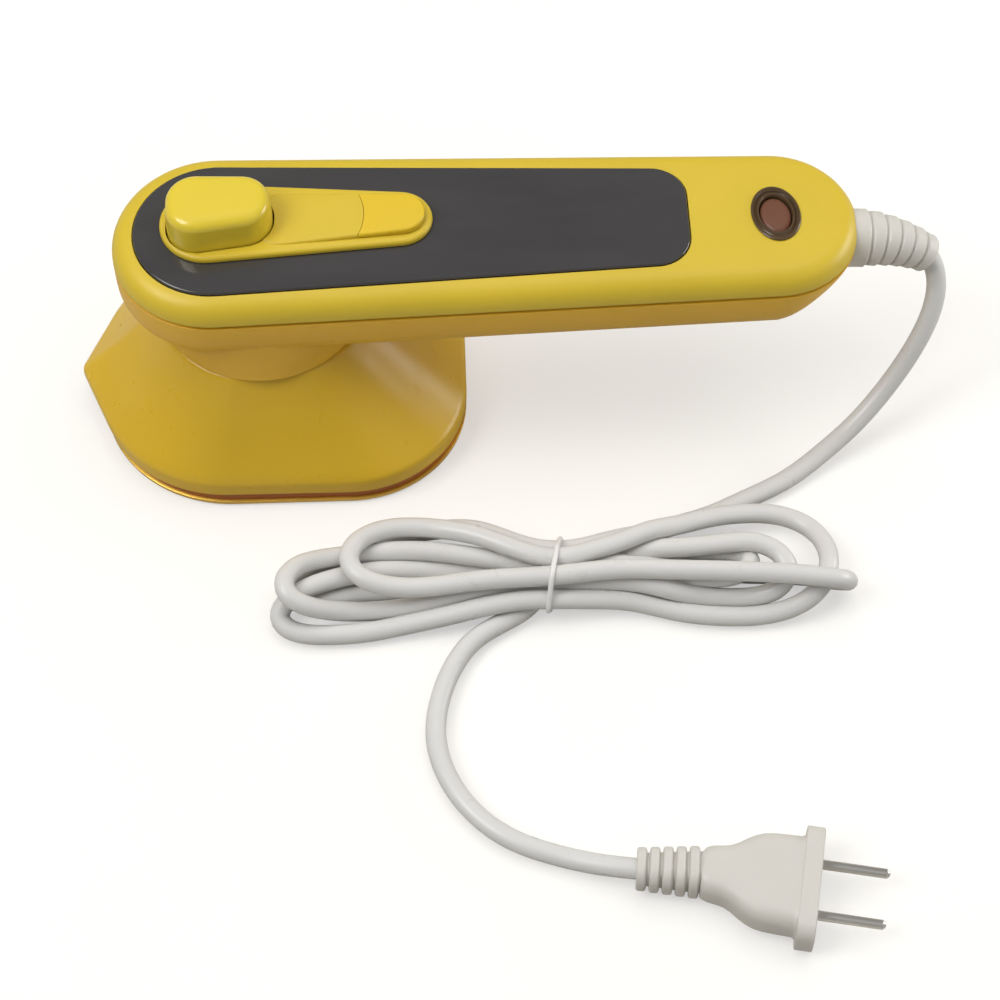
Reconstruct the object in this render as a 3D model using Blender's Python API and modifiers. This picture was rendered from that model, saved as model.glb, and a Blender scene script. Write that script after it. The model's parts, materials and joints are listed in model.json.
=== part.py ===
"""Hand-held steam iron with a swivelling head and a mains lead, in metres, +Z up.

The origin is on the swivel axis, in the plane that the soleplate rests on. The handle runs along +X
towards the lead, and the head's nose points to -X. A button on the handle pumps water from the tank
to the head, and the filler cap swings up by its tip.
"""

import math

import bmesh
import bpy
from mathutils import Matrix, Vector

# ---------------------------------------------------------------- driving dimensions, metres
GAP = 0.0003  # clearance between neighbouring solids

# An outline is the tight band round a ring of circles, each (x, y, radius), in anticlockwise order.
HANDLE = [(-0.0108, 0.0, 0.0272), (0.1370, 0.0006, 0.0229)]
CAVITY = [(-0.0108, 0.0, 0.0272), (0.1333, 0.0006, 0.0229)]  # leaves a thicker wall round the strain relief
END_TAPER = 0.0045  # how far the far end's corners draw in at the underside
PANEL = [(-0.0103, 0.0, 0.0218), (0.1049, -0.0067, 0.0095), (0.1049, 0.0067, 0.0095)]
BEZEL_Y = 0.0008
BEZEL = [(-0.0120, BEZEL_Y, 0.0127), (0.0376, BEZEL_Y, 0.0094)]
TONGUE = [(0.0075, BEZEL_Y, 0.0087), (0.0388, BEZEL_Y, 0.0063)]
BUTTON = [(-0.0143, -0.0012, 0.0082), (-0.0027, 0.0002, 0.0079), (-0.0027, 0.0014, 0.0079),
          (-0.0143, 0.0016, 0.0082)]
HEAD_CORNERS = [(-0.0108, -0.0036, 0.0378), (0.0221, -0.0089, 0.0328),
                (0.0221, 0.0089, 0.0328), (-0.0108, 0.0036, 0.0378)]
NOSE_CORNER = -0.0537  # where the skirt's two front sides would meet, were the nose sharp
NOSE_HALF_ANGLE = math.radians(61.5)
SOLE_CORNERS = [(-0.0100, -0.0043, 0.0375), (0.0221, -0.0091, 0.0328),
                (0.0221, 0.0091, 0.0328), (-0.0100, 0.0043, 0.0375)]
SOLE_NOSE_CORNER = -0.0500
SOLE_HALF_ANGLE = math.radians(72.0)
NOSE_R = 0.0038
TANK = [(0.0270, -0.0085, 0.0040), (0.1060, -0.0080, 0.0040), (0.1060, 0.0080, 0.0040),
        (0.0270, 0.0085, 0.0040)]
CHAMBER = [(-0.0130, 0.0, 0.0085), (0.0200, 0.0, 0.0100)]
COVER = [(-0.0130, 0.0, 0.0102), (0.0200, 0.0, 0.0110)]

# Handle, from the underside up.
HANDLE_BOTTOM = 0.0470
SEAM = 0.0612  # middle of the parting line between the two shells
SEAM_GAP = 0.0004
HANDLE_TOP = 0.0688
WALL = 0.0020
UNDER_ROUND = 0.0076
TOP_ROUND = 0.0057
TOP_ROUND_HEIGHT = 0.0064
LEDGE_TOP = 0.0666  # what the window panel lies on
LEDGE_THICKNESS = 0.0014
LEDGE_WIDTH = 0.0030
PANEL_BOTTOM = LEDGE_TOP + GAP
PANEL_TOP = 0.0695
BEZEL_BOTTOM = PANEL_TOP + GAP
BEZEL_TOP = 0.0714
TONGUE_START_Z = 0.0715
TONGUE_END_Z = 0.0736
TONGUE_END_X = 0.0450
TONGUE_EDGE = 0.0008
BUTTON_TOP = 0.0813
BUTTON_BOTTOM = 0.0665
BUTTON_CLEAR = 0.0004
ARC_X = 0.0130  # centre of the curved line where the filler cap starts
ARC_R = 0.0160
FILLER_X = 0.0372
MOUTH_R = 0.0049
LAMP_X = 0.1375
LAMP_LONG = 1.41  # the lamp is an oval, this much longer across the handle
LAMP_TURN = math.radians(5)

# Neck and swivel.
NECK_BOTTOM = 0.0394
NECK_R = 0.0280
NECK_TOP = 0.0545
NECK_TOP_A = 0.0376  # half length of the neck's top, along the handle
NECK_TOP_B = 0.0262
HUB_R = 0.0120
HUB_BORE_R = 0.0090

# Head, from the sole up.
SOLE_THICKNESS = 0.0018
RING_TOP = 0.0042
SKIRT_BOTTOM = 0.0045
NOSE_LIFT = 0.0028  # how far the skirt's edge rises at the nose
RIM_TOP = 0.0098
SKIRT_TOP = NECK_BOTTOM - GAP
SKIRT_WALL = 0.0022
CASTING_TOP = 0.0090

# Pump under the button.
PUMP_X = -0.0077
PUMP_FLANGE = 0.0620
PUMP_BOTTOM = 0.0505
SPRING_R = 0.0051
SPRING_WIRE_R = 0.0005
SPRING_TURNS = 5

# Lead.
CORD_R = 0.0027
RELIEF_Z = 0.0580
RELIEF_INSIDE = 0.1515  # where the strain relief starts, inside the handle
RELIEF_FACE = 0.1604  # its collar lies against the end of the handle here
COLLAR_R = 0.0078
TIP_R = 0.0053
FLANGE_R = 0.0069
WAIST_R = 0.0056
WAIST_START = 0.0022
WAIST_END = 0.0052
RELIEF_AIM = Vector((0.1712, 0.0, 0.0574))
RELIEF_TIP = Vector((0.1804, -0.0004, 0.0506))
HANK = [(0.0155, -0.0720, 0.0165), (0.1430, -0.0700, 0.0180)]
HANK_BOTTOM = 0.0001
HANK_TOP = 0.0150
LEAD_ROUTE = [(0.1815, -0.0005, 0.0497), (0.1826, -0.0012, 0.0480), (0.1835, -0.0026, 0.0450),
              (0.1838, -0.0052, 0.0407), (0.1825, -0.0090, 0.0355), (0.1785, -0.0140, 0.0275),
              (0.1722, -0.0194, 0.0180), (0.1632, -0.0262, 0.0090), (0.1532, -0.0330, 0.0042),
              (0.1430, -0.0405, 0.0028), (0.1334, -0.0455, 0.0028), (0.1232, -0.0490, 0.0028)]
TAIL_ROUTE = [(0.0560, -0.0915, 0.0028), (0.0515, -0.0938, 0.0028), (0.0472, -0.0990, 0.0028),
              (0.0449, -0.1063, 0.0028), (0.0436, -0.1180, 0.0028), (0.0470, -0.1300, 0.0028),
              (0.0532, -0.1395, 0.0028), (0.0622, -0.1470, 0.0028), (0.0768, -0.1528, 0.0030),
              (0.0850, -0.1556, 0.0046), (0.0921, -0.1572, 0.0057)]
PLUG_START = Vector((0.0931, -0.1574, 0.0058))
PLUG_WAIST = Vector((0.1094, -0.1592, 0.0062))
PLUG_END = Vector((0.1380, -0.1650, 0.0066))

# ---------------------------------------------------------------- scene and helpers
for old in list(bpy.data.objects):
    bpy.data.objects.remove(old)

parts = bpy.data.collections.new("steam_iron")
cutters = bpy.data.collections.new("cutters")
for collection in (parts, cutters):
    bpy.context.scene.collection.children.link(collection)


def material(name, colour, roughness, metallic=0.0, alpha=1.0):
    """A Principled material."""
    made = bpy.data.materials.new(name)
    made.use_nodes = True
    shader = made.node_tree.nodes["Principled BSDF"]
    shader.inputs["Base Color"].default_value = (*colour, 1.0)
    shader.inputs["Roughness"].default_value = roughness
    shader.inputs["Metallic"].default_value = metallic
    shader.inputs["Alpha"].default_value = alpha
    return made


YELLOW = material("yellow_plastic", (0.64, 0.42, 0.045), 0.35)
ORANGE = material("orange_plastic", (0.80, 0.50, 0.03), 0.35)
SMOKE = material("smoky_window", (0.06, 0.055, 0.055), 0.08)
BROWN = material("insulating_ring", (0.20, 0.05, 0.01), 0.5)
GOLD = material("gold_coating", (0.60, 0.33, 0.06), 0.3, 0.6)
WHITE = material("white_cord", (0.66, 0.65, 0.63), 0.4)
CREAM = material("cream_moulding", (0.70, 0.67, 0.61), 0.45)
NICKEL = material("nickel", (0.60, 0.58, 0.55), 0.2, 1.0)
STEEL = material("steel", (0.50, 0.50, 0.50), 0.3, 1.0)
BRASS = material("brass", (0.60, 0.45, 0.20), 0.3, 1.0)
BLACK = material("black_plastic", (0.03, 0.03, 0.03), 0.4)
LENS = material("lamp_lens", (0.23, 0.09, 0.05), 0.1)
GREY = material("grey_plastic", (0.35, 0.35, 0.36), 0.45)
CLEAR = material("clear_plastic", (0.65, 0.72, 0.75), 0.1)
GREEN = material("circuit_board", (0.05, 0.20, 0.08), 0.5)
BLUE = material("blue_wire", (0.05, 0.12, 0.45), 0.45)
SILICONE = material("silicone", (0.75, 0.73, 0.70), 0.5)


def add(name, mesh, look, place=None):
    """An object in the parts collection, or in the cutters collection when it has no material."""
    made = bpy.data.objects.new(name, mesh)
    if look is None:
        cutters.objects.link(made)
        made.hide_render = True
        made.display_type = "WIRE"
    else:
        parts.objects.link(made)
        mesh.materials.append(look)
        mesh.shade_smooth()
        mesh.set_sharp_from_angle(angle=math.radians(35))
    if place is not None:
        made.matrix_world = place
    return made


def band(circles, inset=0.0, step=18):
    """Points round the tight band about the circles, moved in by inset, one about every step degrees."""
    touch = []
    count = len(circles)
    for i, (x0, y0, r0) in enumerate(circles):
        x1, y1, r1 = circles[(i + 1) % count]
        along = math.atan2(y1 - y0, x1 - x0)
        touch.append(along - math.acos((r0 - r1) / math.hypot(x1 - x0, y1 - y0)))
    points = []
    for i, (x, y, r) in enumerate(circles):
        first = touch[i - 1]
        sweep = (touch[i] - first) % (2 * math.pi)
        pieces = max(2, round(math.degrees(sweep) / step))
        for k in range(pieces + 1):
            turn = first + sweep * k / pieces
            points.append((x + (r - inset) * math.cos(turn), y + (r - inset) * math.sin(turn)))
    return points


def circle(r, count):
    """Points round a circle about the origin."""
    return [(r * math.cos(math.tau * k / count), r * math.sin(math.tau * k / count)) for k in range(count)]


def level(outline, z):
    """The outline at height z."""
    return [(x, y, z) for x, y in outline]


def loft(name, rings, look, closed=False, place=None):
    """A solid skinned over rings of equal point count: closed into a tube ring, or capped at both ends."""
    bm = bmesh.new()
    loops = [[bm.verts.new(p) for p in ring] for ring in rings]
    pairs = list(zip(loops, loops[1:]))
    if closed:
        pairs.append((loops[-1], loops[0]))
    for low, high in pairs:
        for k in range(len(low)):
            j = (k + 1) % len(low)
            bm.faces.new((low[k], low[j], high[j], high[k]))
    if not closed:
        bm.faces.new(loops[0])
        bm.faces.new(loops[-1])
    bmesh.ops.recalc_face_normals(bm, faces=bm.faces)
    mesh = bpy.data.meshes.new(name)
    bm.to_mesh(mesh)
    bm.free()
    return add(name, mesh, look, place)


def slab(name, outline, low, high, look, edge=0.0, outline_in=None):
    """A flat piece from low to high. edge chamfers its top, down to outline_in."""
    rings = [level(outline, low), level(outline, high - edge)]
    if edge:
        rings.append(level(outline_in, high))
    return loft(name, rings, look)


def turned(name, profile, look, steps=32, ring=False, place=None):
    """A turned solid. profile is (radius, height) points down the outer side, then up inside for a ring."""
    mesh = bpy.data.meshes.new(name)
    bm = bmesh.new()
    verts = [bm.verts.new((r, 0.0, z)) for r, z in profile]
    for a, b in zip(verts, verts[1:] + verts[:1] if ring else verts[1:]):
        bm.edges.new((a, b))
    bm.to_mesh(mesh)
    bm.free()
    made = add(name, mesh, look, place)
    screw = made.modifiers.new("Turn", "SCREW")
    screw.steps = steps
    screw.render_steps = steps
    screw.use_merge_vertices = True
    screw.merge_threshold = 0.000001
    screw.use_smooth_shade = True
    return made


def peg(name, r, low, high, look, x=0.0, y=0.0, steps=16):
    """An upright cylinder."""
    mesh = bpy.data.meshes.new(name)
    bm = bmesh.new()
    bmesh.ops.create_cone(bm, cap_ends=True, segments=steps, radius1=r, radius2=r, depth=high - low)
    bm.to_mesh(mesh)
    bm.free()
    return add(name, mesh, look, Matrix.Translation((x, y, (low + high) / 2)))


def block(name, size, centre, look):
    """A box of that size about its centre."""
    mesh = bpy.data.meshes.new(name)
    bm = bmesh.new()
    bmesh.ops.create_cube(bm, size=1.0, matrix=Matrix.Diagonal((*size, 1.0)))
    bm.to_mesh(mesh)
    bm.free()
    return add(name, mesh, look, Matrix.Translation(centre))


def join(target, tool, operation):
    """A Boolean of target with tool: UNION, DIFFERENCE or INTERSECT."""
    cut = target.modifiers.new(operation.title(), "BOOLEAN")
    cut.operation = operation
    cut.object = tool
    cut.solver = "EXACT"


def cut(target, tool):
    join(target, tool, "DIFFERENCE")


def fuse(target, tool):
    join(target, tool, "UNION")


def smooth_route(points, spacing):
    """Evenly spaced points on a Catmull-Rom curve through the points."""
    ends = [Vector(points[0]) * 2 - Vector(points[1])]
    ends += [Vector(p) for p in points]
    ends.append(Vector(points[-1]) * 2 - Vector(points[-2]))
    fine = []
    for p0, p1, p2, p3 in zip(ends, ends[1:], ends[2:], ends[3:]):
        for k in range(12):
            t = k / 12
            fine.append(0.5 * (2 * p1 + (p2 - p0) * t + (2 * p0 - 5 * p1 + 4 * p2 - p3) * t * t
                               + (3 * p1 - p0 - 3 * p2 + p3) * t ** 3))
    fine.append(ends[-2])
    total = sum((b - a).length for a, b in zip(fine, fine[1:]))
    count = max(2, round(total / spacing))
    route = [fine[0]]
    walked = 0.0
    for a, b in zip(fine, fine[1:]):
        walked += (b - a).length
        if walked >= total * len(route) / count - 1e-9 and len(route) < count:
            route.append(b)
    route.append(fine[-1])
    return route


def tube(name, points, r, look, resolution=1):
    """A round tube with filled ends along the points."""
    curve = bpy.data.curves.new(name, "CURVE")
    curve.dimensions = "3D"
    curve.bevel_depth = r
    curve.bevel_resolution = resolution
    curve.use_fill_caps = True
    spline = curve.splines.new("POLY")
    spline.points.add(len(points) - 1)
    for point, p in zip(spline.points, points):
        point.co = (*p, 1.0)
    made = bpy.data.objects.new(name, curve)
    parts.objects.link(made)
    curve.materials.append(look)
    return made


def along(start, end):
    """The frame whose +Z runs from start to end, with its origin at start and +X level."""
    z = (end - start).normalized()
    x = Vector((0.0, 0.0, 1.0)).cross(z).normalized()
    y = z.cross(x)
    turn = Matrix((x, y, z)).transposed().to_4x4()
    return Matrix.Translation(start) @ turn


def screw(name, x, y, head_low, head_r, head_h, shank_r, top, look=STEEL):
    """A pan-head screw driven upwards, its head at the bottom."""
    profile = [(0.0, top), (shank_r, top - 0.0006), (shank_r, head_low + head_h), (head_r, head_low + head_h),
               (head_r, head_low + 0.0004), (head_r - 0.0006, head_low), (0.0, head_low)]
    return turned(name, profile, look, 12, place=Matrix.Translation((x, y, 0.0)))


# ---------------------------------------------------------------- handle shells
SCREWS = [(0.0460, 0.0195), (0.0460, -0.0195), (0.1220, 0.0135), (0.1220, -0.0135)]
BOSS_R = 0.0040
POST_HOLE_R = 0.0013
PUMP_POSTS = [(PUMP_X, 0.0175), (PUMP_X, -0.0175)]


def roundover(width, height, steps=4):
    """(inset, rise) pairs of a quarter ellipse, from the side wall to the flat."""
    turns = [math.pi / 2 * k / steps for k in range(steps + 1)]
    return [(width * (1 - math.cos(a)), height * math.sin(a)) for a in turns]


def handle_upper_shell():
    low = SEAM + SEAM_GAP / 2
    start = HANDLE_TOP - TOP_ROUND_HEIGHT
    inner_top = LEDGE_TOP - LEDGE_THICKNESS
    rings = [level(band(HANDLE), low)]
    rings += [level(band(HANDLE, inset), start + rise)
              for inset, rise in roundover(TOP_ROUND, TOP_ROUND_HEIGHT)]
    shell = loft("handle_upper_shell", rings, YELLOW)
    inside = loft("upper_inside",
                  [level(band(CAVITY, WALL), low - 0.002), level(band(CAVITY, WALL), inner_top - 0.0035),
                   level(band(CAVITY, WALL + 0.0012), inner_top - 0.0015),
                   level(band(CAVITY, WALL + 0.0040), inner_top)], None)
    for i, (x, y) in enumerate(SCREWS):
        cut(inside, peg(f"upper_boss_{i}", BOSS_R, low, HANDLE_TOP, None, x, y))
    for i, (x, y) in enumerate(PUMP_POSTS):
        cut(inside, peg(f"pump_post_{i}", 0.0028, PUMP_FLANGE + GAP, HANDLE_TOP, None, x, y))
    cut(shell, inside)
    for i, (x, y) in enumerate(PUMP_POSTS):
        cut(shell, peg(f"pump_post_hole_{i}", POST_HOLE_R, PUMP_FLANGE - 0.001, inner_top + 0.0003, None,
                       x, y, 12))
    cut(shell, slab("panel_recess", band(PANEL, -GAP), LEDGE_TOP, HANDLE_TOP + 0.002, None))
    cut(shell, slab("panel_opening", band(PANEL, LEDGE_WIDTH), SEAM, HANDLE_TOP + 0.002, None))
    cut(shell, loft("lamp_hole", [level(circle(0.0060, 24), z) for z in (SEAM + 0.001, HANDLE_TOP + 0.002)],
                    None, place=lamp_oval(0.0)))
    for i, (x, y) in enumerate(SCREWS):
        cut(shell, peg(f"upper_pilot_{i}", 0.0016, SEAM - 0.001, inner_top - 0.0002, None, x, y, 12))
    bore_for_relief(shell, "upper")
    return shell


def lamp_oval(z):
    """The frame of the oval lamp at height z."""
    stretch = Matrix.Diagonal((1.0, LAMP_LONG, 1.0, 1.0))
    return Matrix.Translation((LAMP_X, 0.0, z)) @ Matrix.Rotation(LAMP_TURN, 4, "Z") @ stretch


def neck_ring(z, inset, count=36):
    """The neck's oval at height z: round where it turns on the head, long where it meets the handle."""
    share = max(0.0, min(1.0, (z - NECK_BOTTOM) / (NECK_TOP - NECK_BOTTOM))) ** 0.8
    a = NECK_R + (NECK_TOP_A - NECK_R) * share - inset
    b = NECK_R + (NECK_TOP_B - NECK_R) * share - inset
    return [(a * math.cos(math.tau * k / count), b * math.sin(math.tau * k / count), z) for k in range(count)]


def bore_for_relief(shell, name):
    """Cuts the stepped hole in the handle's end: for the strain relief's flange, its waist and its collar."""
    steps = [("flange", FLANGE_R + GAP, RELIEF_INSIDE - 0.0020, RELIEF_INSIDE + WAIST_START + 0.0008),
             ("waist", WAIST_R + GAP, RELIEF_INSIDE, RELIEF_FACE),
             ("collar", COLLAR_R + GAP, RELIEF_INSIDE + WAIST_END - 0.0003, RELIEF_FACE + 0.0020)]
    along_x = Matrix.Translation((0.0, 0.0, RELIEF_Z)) @ Matrix.Rotation(math.pi / 2, 4, "Y")
    for part, r, near, far in steps:
        cut(shell, loft(f"{name}_{part}_bore", [level(circle(r, 22), z) for z in (near, far)], None,
                        place=along_x))


def tapered(circles, inset, z):
    """The band's outline at height z, with its far end's corners drawn in towards the underside."""
    depth = (SEAM - z) / (SEAM - HANDLE_BOTTOM)
    end, middle = circles[1][:2]
    ring = []
    for x, y in band(circles, inset):
        turn = math.atan2(y - middle, x - end)
        pull = END_TAPER * depth * abs(math.sin(2 * turn)) ** 1.5 if x > end and depth > 0 else 0.0
        ring.append((x - pull * math.cos(turn), y - pull * math.sin(turn), z))
    return ring


def handle_lower_shell():
    high = SEAM - SEAM_GAP / 2
    floor = HANDLE_BOTTOM + WALL
    outer = [(inset, HANDLE_BOTTOM + UNDER_ROUND - rise)
             for inset, rise in roundover(UNDER_ROUND, UNDER_ROUND)]
    inner = [(WALL + inset, floor + UNDER_ROUND - WALL - rise) for inset, rise in
             roundover(UNDER_ROUND - WALL, UNDER_ROUND - WALL, 3)]
    shell = loft("handle_lower_shell",
                 [level(band(HANDLE), high)] + [tapered(HANDLE, inset, z) for inset, z in outer], YELLOW)
    heights = [NECK_BOTTOM + (NECK_TOP - NECK_BOTTOM) * k / 4 for k in range(5)]
    fuse(shell, loft("neck_outside", [neck_ring(z, 0.0) for z in heights], None))
    inside = loft("lower_inside",
                  [level(band(CAVITY, WALL), high + 0.002)]
                  + [tapered(CAVITY, inset, z) for inset, z in inner], None)
    neck_heights = [NECK_BOTTOM + WALL] + heights[1:-1] + [NECK_TOP + 0.001]
    fuse(inside, loft("neck_inside", [neck_ring(z, WALL) for z in neck_heights], None))
    for i, (x, y) in enumerate(SCREWS):
        cut(inside, peg(f"lower_boss_{i}", BOSS_R, NECK_BOTTOM, high, None, x, y))
    cut(shell, inside)
    cut(shell, peg("hub_hole", HUB_R + GAP, NECK_BOTTOM - 0.002, NECK_BOTTOM + WALL + 0.002, None, steps=32))
    for i, (x, y) in enumerate(SCREWS):
        cut(shell, peg(f"counterbore_{i}", 0.0029, HANDLE_BOTTOM - 0.002, HANDLE_BOTTOM + 0.0045, None, x, y))
        cut(shell, peg(f"lower_clear_{i}", 0.0016, HANDLE_BOTTOM, high + 0.002, None, x, y, 12))
    bore_for_relief(shell, "lower")
    return shell


handle_upper_shell()
handle_lower_shell()
for number, (x, y) in enumerate(SCREWS, 1):
    screw(f"shell_screw_{number}", x, y, HANDLE_BOTTOM + 0.0020, 0.0026, 0.0022, 0.0013, 0.0645)

# ---------------------------------------------------------------- window panel, bezel, filler cap
panel = slab("window_panel", band(PANEL), PANEL_BOTTOM, PANEL_TOP, SMOKE, 0.0006, band(PANEL, 0.0006))
cut(panel, slab("panel_button_hole", band(BUTTON, -BUTTON_CLEAR), PANEL_BOTTOM - 0.001,
                PANEL_TOP + 0.001, None))
cut(panel, peg("panel_mouth", MOUTH_R, PANEL_BOTTOM - 0.001, PANEL_TOP + 0.001, None, FILLER_X, BEZEL_Y))


def tongue(name, look):
    """The tongue's whole outline, with a top that rises from the button to the tip."""
    def top(x, drop):
        return TONGUE_START_Z + (TONGUE_END_Z - TONGUE_START_Z) * x / TONGUE_END_X - drop
    base = band(TONGUE)
    low = BEZEL_TOP + GAP if look else BEZEL_TOP - 0.0008
    rings = [[(x, y, min(low, top(x, TONGUE_EDGE + 0.0001))) for x, y in base],
             [(x, y, top(x, TONGUE_EDGE)) for x, y in base],
             [(x, y, top(x, 0.0)) for x, y in band(TONGUE, TONGUE_EDGE)]]
    return loft(name, rings, look)


bezel = slab("control_bezel", band(BEZEL), BEZEL_BOTTOM, BEZEL_TOP, YELLOW, 0.0007, band(BEZEL, 0.0007))
ramp = tongue("ramp", None)
join(ramp, peg("ramp_arc", ARC_R, BEZEL_BOTTOM, TONGUE_END_Z + 0.01, None, ARC_X, BEZEL_Y, 96), "INTERSECT")
fuse(bezel, ramp)
cut(bezel, slab("bezel_button_hole", band(BUTTON, -BUTTON_CLEAR), BEZEL_BOTTOM - 0.001,
                BEZEL_TOP + 0.005, None))
cut(bezel, peg("bezel_mouth", MOUTH_R, BEZEL_BOTTOM - 0.001, BEZEL_TOP + 0.005, None, FILLER_X, BEZEL_Y))

cap = tongue("filler_cap", ORANGE)
cut(cap, peg("cap_arc", ARC_R + GAP, BEZEL_BOTTOM, TONGUE_END_Z + 0.01, None, ARC_X, BEZEL_Y, 96))
cut(cap, block("cap_under", (0.060, 0.030, 0.004), (0.030, BEZEL_Y, BEZEL_TOP + GAP - 0.002), None))
stopper = [(0.0, 0.0721), (0.0043, 0.0721), (0.0043, 0.0710), (0.0037, 0.0688), (0.0, 0.0688)]
fuse(cap, turned("cap_plug", stopper, None, 24, place=Matrix.Translation((FILLER_X, BEZEL_Y, 0.0))))

# ---------------------------------------------------------------- button, pump and tank
button_side = [(0.0, BUTTON_BOTTOM), (0.0, BEZEL_TOP - 0.0002), (0.0004, BUTTON_TOP - 0.0026),
               (0.0010, BUTTON_TOP - 0.0011), (0.0022, BUTTON_TOP - 0.0003), (0.0036, BUTTON_TOP)]
button_rings = [level(band(BUTTON, inset), z) for inset, z in
                ((0.0030, BUTTON_TOP - 0.0018), (0.0018, BUTTON_TOP - 0.0040), (0.0016, BUTTON_BOTTOM))]
button_rings += [level(band(BUTTON, inset), z) for inset, z in button_side]
loft("spray_button", button_rings, YELLOW)

PISTON_TOP = BUTTON_TOP - 0.0018 - GAP
turned("pump_piston",
       [(0.0, PISTON_TOP), (0.0045, PISTON_TOP), (0.0045, PISTON_TOP - 0.0018), (0.0018, PISTON_TOP - 0.0018),
        (0.0018, 0.0600), (0.0039, 0.0596), (0.0039, 0.0558), (0.0, 0.0558)],
       GREY, 24, place=Matrix.Translation((PUMP_X, 0.0, 0.0)))
pump = peg("pump_body", 0.0062, PUMP_BOTTOM, PUMP_FLANGE, GREY, PUMP_X)
fuse(pump, slab("pump_flange", band([(PUMP_X, -0.0180, 0.0034), (PUMP_X, 0.0180, 0.0034)]),
                PUMP_FLANGE - 0.0018, PUMP_FLANGE, None))
cut(pump, peg("pump_bore", 0.0043, PUMP_BOTTOM + 0.0012, PUMP_FLANGE - 0.0018, None, PUMP_X))
cut(pump, peg("pump_rod_hole", 0.0022, PUMP_FLANGE - 0.0030, PUMP_FLANGE + 0.001, None, PUMP_X))
cut(pump, peg("pump_outlet_hole", 0.0008, PUMP_BOTTOM - 0.001, PUMP_BOTTOM + 0.002, None, PUMP_X, steps=12))
for number, (x, y) in enumerate(PUMP_POSTS, 1):
    cut(pump, peg(f"pump_ear_hole_{number}", POST_HOLE_R, PUMP_FLANGE - 0.003, PUMP_FLANGE + 0.001, None,
                  x, y, 12))
    screw(f"pump_screw_{number}", x, y, PUMP_FLANGE - 0.0018 - GAP - 0.0014, 0.0022, 0.0014, 0.0010, 0.0648)

spring_low = PUMP_FLANGE + GAP + SPRING_WIRE_R
spring_high = PISTON_TOP - 0.0018 - GAP - SPRING_WIRE_R
coil = []
STEPS_PER_TURN = 9
for k in range(SPRING_TURNS * STEPS_PER_TURN + 1):
    share = k / (SPRING_TURNS * STEPS_PER_TURN)
    turn = math.tau * SPRING_TURNS * share
    coil.append((PUMP_X + SPRING_R * math.cos(turn), SPRING_R * math.sin(turn),
                 spring_low + (spring_high - spring_low) * share))
tube("button_spring", coil, SPRING_WIRE_R, STEEL)

TANK_LOW = 0.0500
TANK_HIGH = 0.0640
NECK_RIM = PANEL_BOTTOM - GAP
tank_rings = [(0.0010, TANK_LOW), (0.0, TANK_LOW + 0.0010), (0.0, TANK_HIGH - 0.0010), (0.0010, TANK_HIGH)]
tank = loft("water_tank", [level(band(TANK, inset), z) for inset, z in tank_rings], CLEAR)
fuse(tank, peg("tank_neck", MOUTH_R + 0.0014, TANK_HIGH - 0.001, NECK_RIM, None, FILLER_X, BEZEL_Y))
fuse(tank, turned("tank_spout", [(0.0, 0.006), (0.0022, 0.006), (0.0022, -0.001), (0.0, -0.001)], None, 16,
                  place=along(Vector((0.0235, 0.0, 0.0530)), Vector((0.0180, 0.0, 0.0530)))))
cut(tank, loft("tank_inside", [level(band(TANK, 0.0016), TANK_LOW + 0.0015),
                               level(band(TANK, 0.0016), TANK_HIGH - 0.0015)], None))
cut(tank, peg("tank_mouth", MOUTH_R, TANK_HIGH - 0.003, NECK_RIM + 0.001, None, FILLER_X, BEZEL_Y))
cut(tank, turned("spout_bore", [(0.0, 0.009), (0.0011, 0.009), (0.0011, -0.005), (0.0, -0.005)], None, 12,
                 place=along(Vector((0.0235, 0.0, 0.0530)), Vector((0.0180, 0.0, 0.0530)))))

feed = [(0.0172, 0.0, 0.0530), (0.0120, 0.0, 0.0530), (0.0060, 0.0005, 0.0531), (0.0005, 0.0010, 0.0533)]
tube("feed_hose", smooth_route(feed, 0.002), 0.0016, SILICONE)
down = [(PUMP_X, 0.0, PUMP_BOTTOM - GAP), (PUMP_X, 0.0, 0.0486), (-0.0066, 0.0, 0.0472),
        (-0.0038, 0.0, 0.0465), (-0.0010, 0.0, 0.0455), (0.0, 0.0, 0.0438), (0.0, 0.0, 0.0400),
        (0.0, 0.0, 0.0300), (0.0, 0.0, 0.0188)]
tube("water_hose", smooth_route(down, 0.0016), 0.0016, SILICONE)

# ---------------------------------------------------------------- lamp
lamp_place = lamp_oval(HANDLE_TOP)
turned("lamp_ring",
       [(0.0052, 0.0009), (0.0061, 0.0007), (0.0065, 0.0003), (0.0056, 0.0003), (0.0056, -0.0042),
        (0.0043, -0.0042), (0.0043, 0.0002)],
       BLACK, 32, ring=True, place=lamp_place)
turned("lamp_lens",
       [(0.0, 0.0006), (0.0020, 0.0004), (0.0034, -0.0001), (0.0040, -0.0008), (0.0040, -0.0036),
        (0.0, -0.0036)],
       LENS, 32, place=lamp_place)
peg("lamp_bulb", 0.0019, 0.0606, 0.0648, LENS, LAMP_X)
block("lamp_board", (0.0140, 0.0120, 0.0012), (LAMP_X, 0.0, 0.0597), GREEN)

# ---------------------------------------------------------------- lead entry inside the handle
RIBS = 6
RELIEF_BEND = [Vector((RELIEF_INSIDE, 0.0, RELIEF_Z)), Vector((RELIEF_FACE, 0.0, RELIEF_Z)),
               RELIEF_AIM, RELIEF_TIP]


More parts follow.
